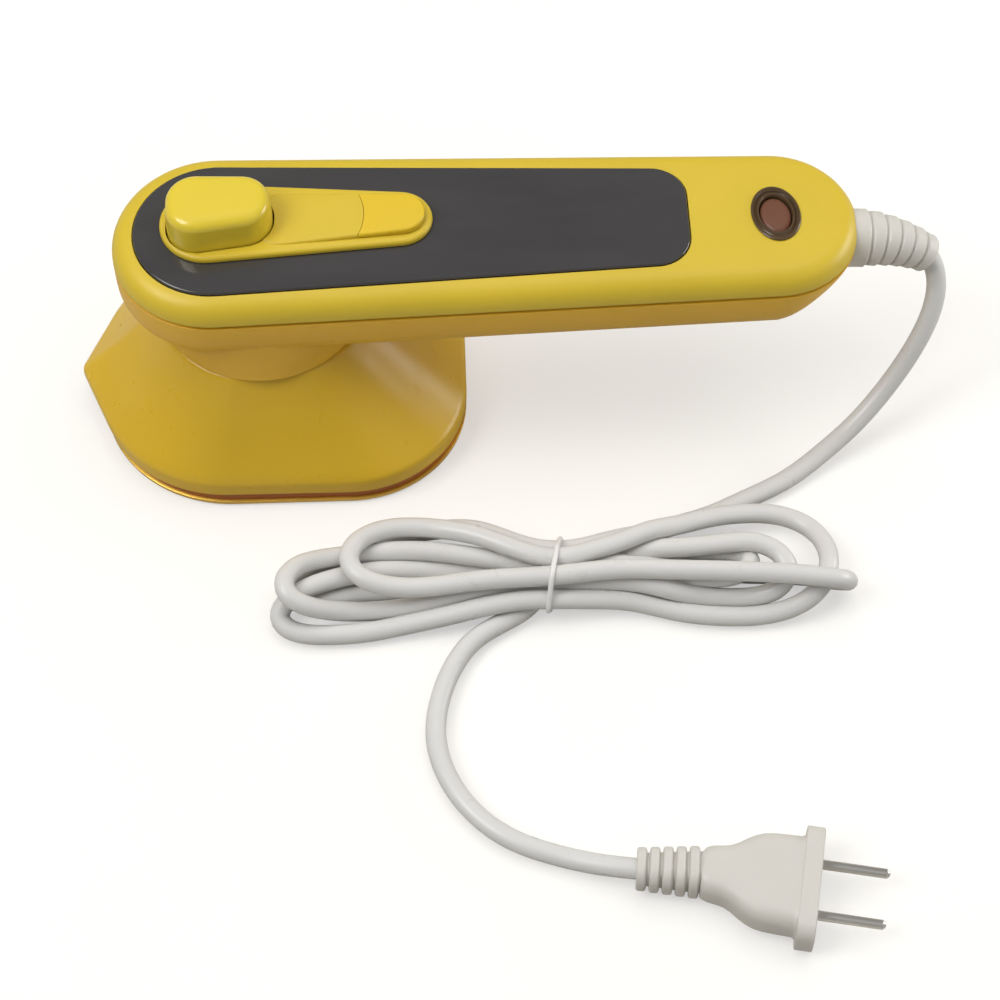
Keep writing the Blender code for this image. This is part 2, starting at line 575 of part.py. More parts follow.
def relief_ring(distance, r):
    """A ring of radius r round the relief's axis: straight to the handle's end face, then drooping."""
    start, face, aim, tip = RELIEF_BEND
    straight = (face - start).length
    if distance <= straight:
        centre = start + Vector((distance, 0.0, 0.0))
        ahead = Vector((1.0, 0.0, 0.0))
    else:
        t = (distance - straight) / (RELIEF_LONG - straight)
        centre = face * (1 - t) ** 2 + aim * 2 * t * (1 - t) + tip * t * t
        ahead = (aim - face) * (1 - t) + (tip - aim) * t
    frame = along(centre, centre + ahead)
    return [frame @ Vector((*p, 0.0)) for p in circle(r, 18)]


RELIEF_LONG = 0.0315
collar = RELIEF_FACE - RELIEF_INSIDE
stations = [(0.0, FLANGE_R), (WAIST_START, FLANGE_R), (WAIST_START, WAIST_R), (WAIST_END, WAIST_R),
            (WAIST_END, COLLAR_R)]
ribs_start = collar - 0.0012
pitch = (RELIEF_LONG - ribs_start) / RIBS
for k in range(RIBS):
    low = ribs_start + pitch * k
    wide = COLLAR_R + (TIP_R - COLLAR_R) * k / (RIBS - 1)
    stations += [(low + pitch * 0.06, wide), (low + pitch * 0.78, wide - 0.0001)]
    if k < RIBS - 1:
        stations += [(low + pitch * 0.81, wide - 0.0012), (low + pitch * 0.98, wide - 0.0013)]
stations.append((RELIEF_LONG, TIP_R - 0.0004))
loft("cord_relief", [relief_ring(*station) for station in stations], CREAM)

inner = [(RELIEF_INSIDE - 0.0009, 0.0, RELIEF_Z), (0.1488, 0.0, 0.0577), (0.1450, 0.0, 0.0552),
         (0.1410, 0.0, 0.0531), (0.1370, 0.0, 0.0525), (0.1265, 0.0, 0.0525)]
tube("inner_cable", smooth_route(inner, 0.003), CORD_R, WHITE, 2)
CLAMP_X = 0.1370
clamp = loft("cord_clamp", [level(band([(CLAMP_X, -0.0085, 0.0034), (CLAMP_X, 0.0085, 0.0034)]), z)
                            for z in (HANDLE_BOTTOM + WALL + 0.0020, 0.0585)], GREY)
cut(clamp, block("clamp_slot", (0.0090, 0.0064, 0.0090), (CLAMP_X, 0.0, 0.0525), None))
for number, side in enumerate((1, -1), 1):
    cut(clamp, peg(f"clamp_hole_{number}", 0.0013, 0.0480, 0.0595, None, CLAMP_X, side * 0.0085, 12))
    turned(f"clamp_screw_{number}",
           [(0.0, 0.0603), (0.0016, 0.0603), (0.0022, 0.0599), (0.0022, 0.0588), (0.0010, 0.0588),
            (0.0010, 0.0496), (0.0, 0.0496)],
           STEEL, 12, place=Matrix.Translation((CLAMP_X, side * 0.0085, 0.0)))
block("terminal_block", (0.0090, 0.0150, 0.0075), (0.1215, 0.0, 0.0535), BLACK)
for name, side, look in (("live_wire", 1, BROWN), ("neutral_wire", -1, BLUE)):
    run = [(0.1162, side * 0.0050, 0.0535), (0.1146, side * 0.0065, 0.0535), (0.1120, side * 0.0110, 0.0532),
           (0.1070, side * 0.0142, 0.0530), (0.0950, side * 0.0150, 0.0528), (0.0700, side * 0.0145, 0.0528),
           (0.0460, side * 0.0140, 0.0520), (0.0250, side * 0.0142, 0.0508), (0.0150, side * 0.0120, 0.0504),
           (0.0092, side * 0.0076, 0.0496), (0.0055, side * 0.0048, 0.0482), (0.0048, side * 0.0046, 0.0462),
           (0.0048, side * 0.0046, 0.0442)]
    tube(name, smooth_route(run, 0.006), 0.0008, look)

# ---------------------------------------------------------------- swivel
turned("swivel_hub",
       [(HUB_R, 0.0464), (HUB_R, SKIRT_TOP - SKIRT_WALL - GAP), (0.0170, SKIRT_TOP - SKIRT_WALL - GAP),
        (0.0170, 0.0346), (HUB_BORE_R, 0.0346), (HUB_BORE_R, 0.0464)],
       GREY, 32, ring=True)
floor = NECK_BOTTOM + WALL
turned("swivel_washer",
       [(0.0175, floor + GAP + 0.0007), (0.0175, floor + GAP), (HUB_R + GAP, floor + GAP),
        (HUB_R + GAP, floor + GAP + 0.0007)],
       STEEL, 32, ring=True)
turned("swivel_nut",
       [(0.0160, 0.0452), (0.0170, 0.0446), (0.0170, 0.0427), (HUB_R + GAP, 0.0427), (HUB_R + GAP, 0.0452)],
       GREY, 32, ring=True)
turned("neck_connector",
       [(0.0084, 0.0438), (0.0084, 0.0398), (0.0026, 0.0398), (0.0026, 0.0438)],
       BLACK, 32, ring=True)

# ---------------------------------------------------------------- head
HEAD_STEP = 13
SOLE_SCREWS = [(-0.0380, 0.0), (0.0330, 0.0230), (0.0330, -0.0230)]


def nosed(corner, half_angle, corners, inset):
    """An outline with a nose, moved in by inset. The nose's circle slides back once it would vanish."""
    nose_r = max(NOSE_R - inset, 0.0008)
    nose_x = corner + (inset + nose_r) / math.sin(half_angle)
    return band([(nose_x, 0.0, nose_r)] + [(x, y, r - inset) for x, y, r in corners], 0.0, HEAD_STEP)


def head_outline(inset):
    """The skirt's outline moved in by inset."""
    return nosed(NOSE_CORNER, NOSE_HALF_ANGLE, HEAD_CORNERS, inset)


def sole_outline(inset):
    """The soleplate's outline moved in by inset. Its nose is blunter than the skirt's."""
    return nosed(SOLE_NOSE_CORNER, SOLE_HALF_ANGLE, SOLE_CORNERS, inset)


def lifted(outline, z):
    """The outline at height z, rising by NOSE_LIFT towards the nose."""
    ring = []
    for x, y in outline:
        share = max(0.0, min(1.0, (-0.034 - x) / 0.014))
        ring.append((x, y, z + NOSE_LIFT * share * share * (3 - 2 * share)))
    return ring


def skirt_ring(share, inset, z):
    """The skirt between its round top at share 0 and the sole's outline at share 1, moved in by inset."""
    ring = []
    for x, y in head_outline(inset):
        r = math.hypot(x, y)
        top = NECK_R - inset
        blend = 0.75 * share + 0.25 * share * share
        k = (top + (r - top) * blend) / r
        ring.append((x * k, y * k, z))
    return ring


def head_skirt():
    drop = SKIRT_TOP - RIM_TOP
    shares = [0.0, 0.16, 0.32, 0.5, 0.68, 0.85, 0.96]
    outer = [skirt_ring(s, 0.0, SKIRT_TOP - drop * s) for s in shares]
    outer += [level(head_outline(0.0004), RIM_TOP + 0.0002), level(head_outline(0.0), RIM_TOP - 0.0012),
              lifted(head_outline(0.0), SKIRT_BOTTOM)]
    inner = [skirt_ring(s, SKIRT_WALL, SKIRT_TOP - SKIRT_WALL - (drop - SKIRT_WALL) * s) for s in shares[:-1]]
    inner += [level(head_outline(SKIRT_WALL), RIM_TOP - 0.0015), level(head_outline(SKIRT_WALL), 0.0)]
    skirt = loft("head_skirt", outer, YELLOW)
    inside = loft("skirt_inside", inner, None)
    for i, (x, y) in enumerate(SOLE_SCREWS):
        cut(inside, peg(f"skirt_boss_{i}", 0.0034, CASTING_TOP + GAP, SKIRT_TOP, None, x, y))
    cut(skirt, inside)
    cut(skirt, peg("skirt_hub_hole", HUB_R + GAP, SKIRT_TOP - 0.005, SKIRT_TOP + 0.002, None, steps=32))
    for i, (x, y) in enumerate(SOLE_SCREWS):
        cut(skirt, peg(f"skirt_pilot_{i}", 0.0015, CASTING_TOP - 0.001, 0.0172, None, x, y, 12))
    return skirt


head_skirt()
outline = sole_outline(0.0014)
loft("insulating_ring",
     [level(outline, SOLE_THICKNESS + GAP), level(outline, RING_TOP), level(sole_outline(0.0085), RING_TOP),
      level(sole_outline(0.0085), SOLE_THICKNESS + GAP)],
     BROWN, closed=True)

sole = loft("soleplate",
            [level(sole_outline(0.0008), 0.0), level(sole_outline(0.0001), 0.0006),
             level(sole_outline(0.0001), SOLE_THICKNESS),
             level(sole_outline(0.0090), SOLE_THICKNESS),
             level(sole_outline(0.0094), CASTING_TOP)], GOLD)
cut(sole, slab("steam_chamber", band(CHAMBER), SOLE_THICKNESS + 0.0012, CASTING_TOP + 0.001, None))
steam_holes = [(-0.0175, 0.0), (0.0255, 0.0)] + [(x, y) for x in (-0.0100, 0.0160) for y in (-0.0055, 0.0055)]
for k, (x, y) in enumerate(steam_holes):
    cut(sole, peg(f"steam_hole_{k}", 0.0012, -0.001, SOLE_THICKNESS + 0.003, None, x, y, 12))
for k, (x, y) in enumerate(SOLE_SCREWS, 1):
    cut(sole, peg(f"sole_hole_{k}", 0.0015, SOLE_THICKNESS + 0.0036, CASTING_TOP + 0.001, None, x, y, 12))
    turned(f"sole_stud_{k}",
           [(0.0, 0.0165), (0.0008, 0.0165), (0.0012, 0.0161), (0.0012, SOLE_THICKNESS + 0.0040),
            (0.0, SOLE_THICKNESS + 0.0040)],
           STEEL, 12, place=Matrix.Translation((x, y, 0.0)))

ELEMENT_R = 0.0030
ELEMENT_Z = CASTING_TOP + 0.0006
GROOVE = 0.0003


def element_route(z):
    """Half a turn of the U, from the terminal at the back to the middle of the bend."""
    half = [(0.0300, 0.0140, 0.0215), (0.0296, 0.0144, 0.0170), (0.0270, 0.0150, 0.0120),
            (0.0210, 0.0155, z), (0.0080, 0.0155, z), (-0.0080, 0.0150, z), (-0.0200, 0.0125, z),
            (-0.0270, 0.0065, z), (-0.0290, 0.0, z)]
    return smooth_route(half + [(x, -y, h) for x, y, h in reversed(half[:-1])], 0.005)


def as_mesh(made):
    """A tube turned into a welded mesh object in the cutters collection, for a Boolean."""
    bpy.context.view_layer.update()
    graph = bpy.context.evaluated_depsgraph_get()
    mesh = bpy.data.meshes.new_from_object(made.evaluated_get(graph))
    bm = bmesh.new()
    bm.from_mesh(mesh)
    bmesh.ops.remove_doubles(bm, verts=bm.verts, dist=0.000001)
    bmesh.ops.recalc_face_normals(bm, faces=bm.faces)
    bm.to_mesh(mesh)
    bm.free()
    welded = bpy.data.objects.new(made.name + "_mesh", mesh)
    welded.matrix_world = made.matrix_world
    welded.hide_render = True
    welded.display_type = "WIRE"
    cutters.objects.link(welded)
    bpy.data.objects.remove(made)
    return welded


cut(sole, as_mesh(tube("element_groove", element_route(ELEMENT_Z), ELEMENT_R + GROOVE, STEEL, 2)))
tube("heating_element", element_route(ELEMENT_Z), ELEMENT_R, STEEL, 2)
COVER_LOW = CASTING_TOP + GAP
slab("chamber_cover", band(COVER), COVER_LOW, COVER_LOW + 0.0015, STEEL)
turned("steam_inlet",
       [(0.0012, 0.0184), (0.0026, 0.0184), (0.0026, 0.0130), (0.0045, 0.0126), (0.0045, 0.0111),
        (0.0012, 0.0111)],
       BRASS, 24, ring=True)
turned("thermostat",
       [(0.0, 0.0205), (0.0062, 0.0205), (0.0080, 0.0190), (0.0080, 0.0111), (0.0, 0.0111)],
       GREY, 24, place=Matrix.Translation((0.0210, 0.0, 0.0)))
turned("thermal_fuse", [(0.0, 0.012), (0.0020, 0.012), (0.0020, 0.0), (0.0, 0.0)], CREAM, 16,
       place=along(Vector((-0.0160, -0.0060, 0.0131)), Vector((-0.0160, 0.0060, 0.0131))))
for name, side, look in (("element_lead_live", 1, BROWN), ("element_lead_neutral", -1, BLUE)):
    run = [(0.0299, side * 0.0139, 0.0222), (0.0285, side * 0.0130, 0.0255), (0.0220, side * 0.0100, 0.0290),
           (0.0120, side * 0.0065, 0.0310), (0.0060, side * 0.0052, 0.0335), (0.0050, side * 0.0048, 0.0370),
           (0.0050, side * 0.0048, 0.0394)]
    tube(name, smooth_route(run, 0.005), 0.0008, look)

# ---------------------------------------------------------------- lead, hank and plug
tube("cord_lead", smooth_route(LEAD_ROUTE, 0.0055), CORD_R, WHITE, 2)
tube("cord_tail", smooth_route(TAIL_ROUTE, 0.0062), CORD_R, WHITE, 2)
loft("cord_hank", [level(band(HANK), HANK_BOTTOM), level(band(HANK), HANK_TOP)], WHITE)

RELIEF_LENGTH = (PLUG_WAIST - PLUG_START).length
BODY_LENGTH = (PLUG_END - PLUG_WAIST).length
FLANGE_LENGTH = 0.0047
body_frame = along(PLUG_WAIST, PLUG_END)
tail_frame = along(PLUG_START, PLUG_WAIST)


def plug_section(z, half_width, half_height, corner):
    """A rounded rectangle across the plug's axis, z past its waist. Its strain relief bends a little."""
    centres = [(half_width - corner, -half_height + corner), (half_width - corner, half_height - corner),
               (-half_width + corner, half_height - corner), (-half_width + corner, -half_height + corner)]
    place = tail_frame @ Matrix.Translation((0.0, 0.0, RELIEF_LENGTH)) if z < 0 else body_frame
    return [place @ Vector((x, y, z)) for x, y in band([(a, b, corner) for a, b in centres], 0.0, 30)]


sections = []
PLUG_RIBS = 5
rib_pitch = RELIEF_LENGTH / PLUG_RIBS
for k in range(PLUG_RIBS):
    wide = 0.0051 + 0.0002 * k
    z = rib_pitch * k - RELIEF_LENGTH
    sections += [(z, wide, wide, 0.0040), (z + 0.0026, wide, wide, 0.0040),
                 (z + 0.0027, wide - 0.0012, wide - 0.0012, 0.0030),
                 (z + rib_pitch - 0.0001, wide - 0.0012, wide - 0.0012, 0.0030)]
face = BODY_LENGTH - FLANGE_LENGTH
body = [(0.0, 0.0062, 0.0056), (0.0050, 0.0070, 0.0058), (0.0095, 0.0094, 0.0059), (0.0135, 0.0115, 0.0059),
        (0.0170, 0.0122, 0.0059), (face, 0.0125, 0.0059)]
sections += [(z, wide, high, 0.0042) for z, wide, high in body]
sections += [(z, 0.0155, 0.0063, 0.0040) for z in (face + 0.0001, BODY_LENGTH)]
plug = loft("plug_body", [plug_section(*s) for s in sections], CREAM)
PIN_SPACING = 0.0138
PIN_LENGTH = 0.0172
PIN_R = 0.00125
for number, side in enumerate((1, -1), 1):
    place = body_frame @ Matrix.Translation((side * PIN_SPACING / 2, 0.0, BODY_LENGTH))
    socket = [(0.0, 0.002), (PIN_R + GAP, 0.002), (PIN_R + GAP, -0.006), (0.0, -0.006)]
    cut(plug, turned(f"pin_socket_{number}", socket, None, 16, place=place))
    turned(f"plug_pin_{number}",
           [(0.0, PIN_LENGTH), (0.0007, PIN_LENGTH - 0.0002), (PIN_R, PIN_LENGTH - 0.0009), (PIN_R, -0.0055),
            (0.0, -0.0055)],
           NICKEL, 16, place=place)

# ---------------------------------------------------------------- what moves
HINGE = Vector((0.0240, BEZEL_Y, 0.0727))  # the filler cap's hinge, under the top of the ramp
HEAD = ["head_skirt", "insulating_ring", "soleplate", "sole_stud_1", "sole_stud_2", "sole_stud_3",
        "heating_element", "chamber_cover", "steam_inlet", "thermostat", "thermal_fuse",
        "element_lead_live", "element_lead_neutral", "swivel_hub", "swivel_nut", "neck_connector"]


def pivot(name, place, names):
    """An empty on a joint's axis, the parent of the pieces that move on that joint."""
    empty = bpy.data.objects.new(name, None)
    empty.location = place
    parts.objects.link(empty)
    for piece in names:
        made = bpy.data.objects[piece]
        made.parent = empty
        made.matrix_parent_inverse = Matrix.Translation(place).inverted()


pivot("neck_swivel", Vector((0.0, 0.0, 0.0)), HEAD)
pivot("button_press", Vector((PUMP_X, 0.0, BUTTON_BOTTOM)), ["spray_button", "pump_piston"])
pivot("filler_hinge", HINGE, ["filler_cap"])
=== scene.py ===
"""Looks of the hand-held steam iron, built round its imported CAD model. Metres, +Z up."""

import json
import math

import bmesh
import bpy
import numpy as np
from mathutils import Matrix, Vector

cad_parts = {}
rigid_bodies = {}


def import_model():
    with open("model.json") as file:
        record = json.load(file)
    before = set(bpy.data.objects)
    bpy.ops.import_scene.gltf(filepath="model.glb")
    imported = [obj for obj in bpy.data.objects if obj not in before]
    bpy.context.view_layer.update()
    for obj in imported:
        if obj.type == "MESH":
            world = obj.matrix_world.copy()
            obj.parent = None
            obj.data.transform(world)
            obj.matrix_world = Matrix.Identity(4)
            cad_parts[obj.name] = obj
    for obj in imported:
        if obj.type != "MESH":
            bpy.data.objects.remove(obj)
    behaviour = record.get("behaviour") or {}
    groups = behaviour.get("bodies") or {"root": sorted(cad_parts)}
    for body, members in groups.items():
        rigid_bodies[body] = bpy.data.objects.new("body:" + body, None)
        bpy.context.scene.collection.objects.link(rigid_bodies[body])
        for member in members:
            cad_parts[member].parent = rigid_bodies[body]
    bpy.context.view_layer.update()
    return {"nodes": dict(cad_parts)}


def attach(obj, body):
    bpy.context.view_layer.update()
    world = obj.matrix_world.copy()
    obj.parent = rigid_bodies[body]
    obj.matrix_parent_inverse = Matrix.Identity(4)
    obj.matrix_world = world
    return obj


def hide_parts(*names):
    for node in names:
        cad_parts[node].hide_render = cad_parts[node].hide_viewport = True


for old in list(bpy.data.objects):
    bpy.data.objects.remove(old)

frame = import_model()
NODES = frame["nodes"]

# ---------------------------------------------------------------- camera
camera = bpy.data.objects.new("camera", bpy.data.cameras.new("camera"))
camera.location = (0.04996, -0.40751, 0.56228)
camera.rotation_mode = "QUATERNION"
camera.rotation_quaternion = Vector((0.0197, 0.5443, -0.8387)).to_track_quat("-Z", "Y")
camera.data.sensor_width = 36.0
camera.data.lens = 86.98
camera.data.clip_start = 0.01
camera.data.clip_end = 20.0
bpy.context.scene.collection.objects.link(camera)
bpy.context.scene.camera = camera


# ---------------------------------------------------------------- materials
def graph(name):
    """A new node material, its tree and its Principled shader."""
    made = bpy.data.materials.new(name)
    made.use_nodes = True
    tree = made.node_tree
    return made, tree, tree.nodes["Principled BSDF"]


def noise(tree, scale, detail=3.0, stretch=(1.0, 1.0, 1.0)):
    """A noise texture in the row frame, scale features per metre."""
    where = tree.nodes.new("ShaderNodeTexCoord")
    mapping = tree.nodes.new("ShaderNodeMapping")
    mapping.inputs["Scale"].default_value = stretch
    texture = tree.nodes.new("ShaderNodeTexNoise")
    texture.inputs["Scale"].default_value = scale
    texture.inputs["Detail"].default_value = detail
    tree.links.new(where.outputs["Object"], mapping.inputs["Vector"])
    tree.links.new(mapping.outputs["Vector"], texture.inputs["Vector"])
    return texture.outputs["Fac"]


def between(tree, fac, low, high):
    """fac, from 0.3 to 0.7, spread over low to high."""
    spread = tree.nodes.new("ShaderNodeMapRange")
    spread.inputs["From Min"].default_value = 0.3
    spread.inputs["From Max"].default_value = 0.7
    spread.inputs["To Min"].default_value = low
    spread.inputs["To Max"].default_value = high
    tree.links.new(fac, spread.inputs["Value"])
    return spread.outputs["Result"]


def tinted(tree, fac, colour, spread):
    """The colour, from a little darker to a little lighter with fac."""
    ramp = tree.nodes.new("ShaderNodeValToRGB")
    ramp.color_ramp.elements[0].position = 0.3
    ramp.color_ramp.elements[1].position = 0.7
    ramp.color_ramp.elements[0].color = (*[c * (1 - spread) for c in colour], 1.0)
    ramp.color_ramp.elements[1].color = (*[min(1.0, c * (1 + spread)) for c in colour], 1.0)
    tree.links.new(fac, ramp.inputs["Fac"])
    return ramp.outputs["Color"]


def bumped(tree, fac, height, strength=1.0, under=None):
    """A bump of that height in metres, over the bump under it."""
    bump = tree.nodes.new("ShaderNodeBump")
    bump.inputs["Strength"].default_value = strength
    bump.inputs["Distance"].default_value = height
    tree.links.new(fac, bump.inputs["Height"])
    if under is not None:
        tree.links.new(under, bump.inputs["Normal"])
    return bump.outputs["Normal"]


def plastic(name, colour, roughness, grain=0.000004, grain_scale=3500.0, spread=0.03, wave=0.00002,
            coat=0.0, soft=0.0, specular=0.5, uneven=0.03):
    """Moulded plastic: fine grain, a faint flow mark, and small changes of colour and shine."""
    made, tree, shader = graph(name)
    broad = noise(tree, 28.0, 2.0)
    fine = noise(tree, grain_scale, 2.0)
    tree.links.new(tinted(tree, broad, colour, spread), shader.inputs["Base Color"])
    tree.links.new(between(tree, noise(tree, 160.0, 4.0), roughness - uneven, roughness + uneven),
                   shader.inputs["Roughness"])
    rolling = bumped(tree, noise(tree, 90.0, 1.0), wave)
    tree.links.new(bumped(tree, fine, grain, under=rolling), shader.inputs["Normal"])
    shader.inputs["Coat Weight"].default_value = coat
    shader.inputs["Coat Roughness"].default_value = 0.08
    shader.inputs["Specular IOR Level"].default_value = specular
    if soft:
        shader.inputs["Subsurface Weight"].default_value = soft
        shader.inputs["Subsurface Radius"].default_value = (1.0, 0.8, 0.6)
        shader.inputs["Subsurface Scale"].default_value = 0.0012
    return made


def metal(name, colour, roughness, brushed=(1.0, 1.0, 1.0), scratch=0.000002, spread=0.05):
    """Metal with fine drawn lines along one direction and a faint stain."""
    made, tree, shader = graph(name)
    lines = noise(tree, 1500.0, 3.0, brushed)
    tree.links.new(tinted(tree, noise(tree, 70.0, 3.0), colour, spread), shader.inputs["Base Color"])
    tree.links.new(between(tree, lines, roughness - 0.05, roughness + 0.07), shader.inputs["Roughness"])
    tree.links.new(bumped(tree, lines, scratch), shader.inputs["Normal"])
    shader.inputs["Metallic"].default_value = 1.0
    return made


def smoky():
    """The dark see-in window: a glossy, slightly streaked sheet."""
    made, tree, shader = graph("smoky_sheet")
    tree.links.new(tinted(tree, noise(tree, 45.0, 2.0, (0.5, 2.0, 1.0)), (0.047, 0.044, 0.044), 0.10),
                   shader.inputs["Base Color"])
    tree.links.new(between(tree, noise(tree, 300.0, 3.0), 0.10, 0.16), shader.inputs["Roughness"])
    tree.links.new(bumped(tree, noise(tree, 40.0, 1.0), 0.00006), shader.inputs["Normal"])
    shader.inputs["Coat Weight"].default_value = 0.6
    shader.inputs["Coat Roughness"].default_value = 0.04
    return made


YELLOW = plastic("yellow_satin", (0.66, 0.475, 0.030), 0.40, coat=0.0)
# Painted light: the head's copy of the yellow plastic is brighter, for a painted highlight on the skirt, and
# more orange, for a painted shade hue on its sloping sides.
HEAD_YELLOW_PAINTED_LIGHT = plastic("yellow_head_painted_light", (0.69, 0.435, 0.020), 0.30)
BUTTON_YELLOW = plastic("yellow_button", (0.74, 0.56, 0.040), 0.24, grain=0.000001, wave=0.0, coat=0.25)
ORANGE = plastic("orange_satin", (0.74, 0.50, 0.018), 0.32, grain=0.000002)
# Painted shade: the lower shell's copy of the yellow plastic is more orange than the upper shell's, standing
# in for the shaded hue of the handle's sides.
LOWER_YELLOW_PAINTED_SHADE = plastic("yellow_lower_painted_shade", (0.75, 0.436, 0.029), 0.40)
SMOKE = smoky()
BROWN = plastic("brown_insulation", (0.40, 0.105, 0.012), 0.4, grain=0.00001)
GOLD = metal("gold_coating", (0.90, 0.58, 0.12), 0.34, (0.2, 4.0, 1.0))
WHITE = plastic("white_cord_skin", (0.66, 0.65, 0.63), 0.30, grain=0.000003, grain_scale=2500.0, spread=0.02,
                wave=0.00003, soft=0.08)
CREAM = plastic("cream_moulding", (0.62, 0.595, 0.545), 0.42, grain=0.000005, spread=0.02, soft=0.06)
NICKEL = metal("nickel_pins", (0.78, 0.75, 0.70), 0.42, (8.0, 1.0, 8.0))
STEEL = metal("steel_drawn", (0.55, 0.55, 0.55), 0.28, (1.0, 1.0, 6.0))
BRASS = metal("brass_turned", (0.60, 0.44, 0.18), 0.26, (1.0, 1.0, 6.0))
BLACK = plastic("black_moulding", (0.035, 0.028, 0.028), 0.32, spread=0.10)
RING = plastic("lamp_ring_bronze", (0.085, 0.050, 0.022), 0.30, spread=0.10)
LENS = plastic("lamp_lens_red", (0.17, 0.066, 0.035), 0.40, grain=0.00005, grain_scale=1100.0, spread=0.14)
GREY = plastic("grey_moulding", (0.34, 0.34, 0.35), 0.45, spread=0.05)
CLEAR = plastic("clear_moulding", (0.62, 0.70, 0.72), 0.15)
GREEN = plastic("circuit_board", (0.04, 0.18, 0.07), 0.45, grain=0.00001, spread=0.15)
BLUE = plastic("blue_wire", (0.05, 0.12, 0.42), 0.45)
SILICONE = plastic("silicone_hose", (0.70, 0.69, 0.66), 0.5, soft=0.1)
TIE = plastic("tie_clear", (0.78, 0.77, 0.75), 0.30, spread=0.02)

BY_SLOT = {"yellow_plastic": YELLOW, "orange_plastic": ORANGE, "smoky_window": SMOKE,
           "insulating_ring": BROWN, "gold_coating": GOLD, "white_cord": WHITE, "cream_moulding": CREAM,
           "nickel": NICKEL, "steel": STEEL, "brass": BRASS, "black_plastic": BLACK, "lamp_lens": LENS,
           "grey_plastic": GREY, "clear_plastic": CLEAR, "circuit_board": GREEN,
           "blue_wire": BLUE, "silicone": SILICONE}


def smooth_tree():
    """A geometry node group that shades every face smooth but keeps edges over 32 degrees sharp."""
    tree = bpy.data.node_groups.new("smooth_by_angle", "GeometryNodeTree")
    tree.interface.new_socket("Geometry", in_out="INPUT", socket_type="NodeSocketGeometry")
    tree.interface.new_socket("Geometry", in_out="OUTPUT", socket_type="NodeSocketGeometry")
    start = tree.nodes.new("NodeGroupInput")
    end = tree.nodes.new("NodeGroupOutput")
    faces = tree.nodes.new("GeometryNodeSetShadeSmooth")
    edges = tree.nodes.new("GeometryNodeSetShadeSmooth")
    edges.domain = "EDGE"
    edges.inputs["Shade Smooth"].default_value = False
    angle = tree.nodes.new("GeometryNodeInputMeshEdgeAngle")
    over = tree.nodes.new("FunctionNodeCompare")
    over.inputs["B"].default_value = math.radians(32)
    tree.links.new(angle.outputs["Unsigned Angle"], over.inputs["A"])
    tree.links.new(start.outputs[0], faces.inputs["Geometry"])
    tree.links.new(faces.outputs[0], edges.inputs["Geometry"])
    tree.links.new(over.outputs[0], edges.inputs["Selection"])
    tree.links.new(edges.outputs[0], end.inputs[0])
    return tree


SMOOTH = smooth_tree()
for node in NODES.values():
    slot_name = node.material_slots[0].material.name
    node.material_slots[0].link = "OBJECT"
    node.material_slots[0].material = BY_SLOT[slot_name.split(".")[0]]
    custom = node.data.attributes.get("custom_normal")
    if custom is not None:
        node.data.attributes.remove(custom)
    weld = node.modifiers.new("Weld", "WELD")
    weld.merge_threshold = 0.000001
    node.modifiers.new("Smooth", "NODES").node_group = SMOOTH


# ---------------------------------------------------------------- mesh helpers
def finished(name, mesh, look, body, replaced=(), edge=0.0, segments=2):
    """The mesh as a piece on a body, with its edges eased by a small bevel."""
    made = bpy.data.objects.new(name, mesh)
    bpy.context.scene.collection.objects.link(made)
    mesh.materials.clear()
    mesh.materials.append(look)
    mesh.shade_smooth()
    mesh.set_sharp_from_angle(angle=math.radians(32))
    if edge:
        ease = made.modifiers.new("Ease", "BEVEL")
        ease.width = edge
        ease.segments = segments
        ease.limit_method = "ANGLE"
        ease.angle_limit = math.radians(32)
        ease.harden_normals = True
    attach(made, body)
    if replaced:
        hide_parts(*replaced)
    return made


def band(circles, inset=0.0, step=5):
    """Points round the tight band about the circles, moved in by inset, one about every step degrees."""
    touch = []
    count = len(circles)
    for i, (x0, y0, r0) in enumerate(circles):
        x1, y1, r1 = circles[(i + 1) % count]
        along = math.atan2(y1 - y0, x1 - x0)
        touch.append(along - math.acos((r0 - r1) / math.hypot(x1 - x0, y1 - y0)))
    points = []
    for i, (x, y, r) in enumerate(circles):
        first = touch[i - 1]
        sweep = (touch[i] - first) % (2 * math.pi)
        pieces = max(2, round(math.degrees(sweep) / step))
        for k in range(pieces + 1):
            turn = first + sweep * k / pieces
            points.append((x + (r - inset) * math.cos(turn), y + (r - inset) * math.sin(turn)))
    return points


def circle(r, count=48, x=0.0, y=0.0):
    """Points round a circle."""
    turns = [math.tau * k / count for k in range(count)]
    return [(x + r * math.cos(turn), y + r * math.sin(turn)) for turn in turns]


def level(outline, z):
    """A flat outline as a ring at height z."""
    return [(x, y, z) for x, y in outline]


def skin(rings, closed=False, place=None):
    """A mesh over rings of equal point count: a closed tube ring, or capped at both ends."""
    bm = bmesh.new()
    loops = [[bm.verts.new(p) for p in ring] for ring in rings]
    pairs = list(zip(loops, loops[1:]))
    if closed:
        pairs.append((loops[-1], loops[0]))
    for low, high in pairs:
        for k in range(len(low)):
            j = (k + 1) % len(low)
            bm.faces.new((low[k], low[j], high[j], high[k]))
    if not closed:
        bm.faces.new(loops[0])
        bm.faces.new(loops[-1])
    bmesh.ops.recalc_face_normals(bm, faces=bm.faces)
    if place is not None:
        bm.transform(place)
    mesh = bpy.data.meshes.new("skin")
    bm.to_mesh(mesh)
    bm.free()
    return mesh


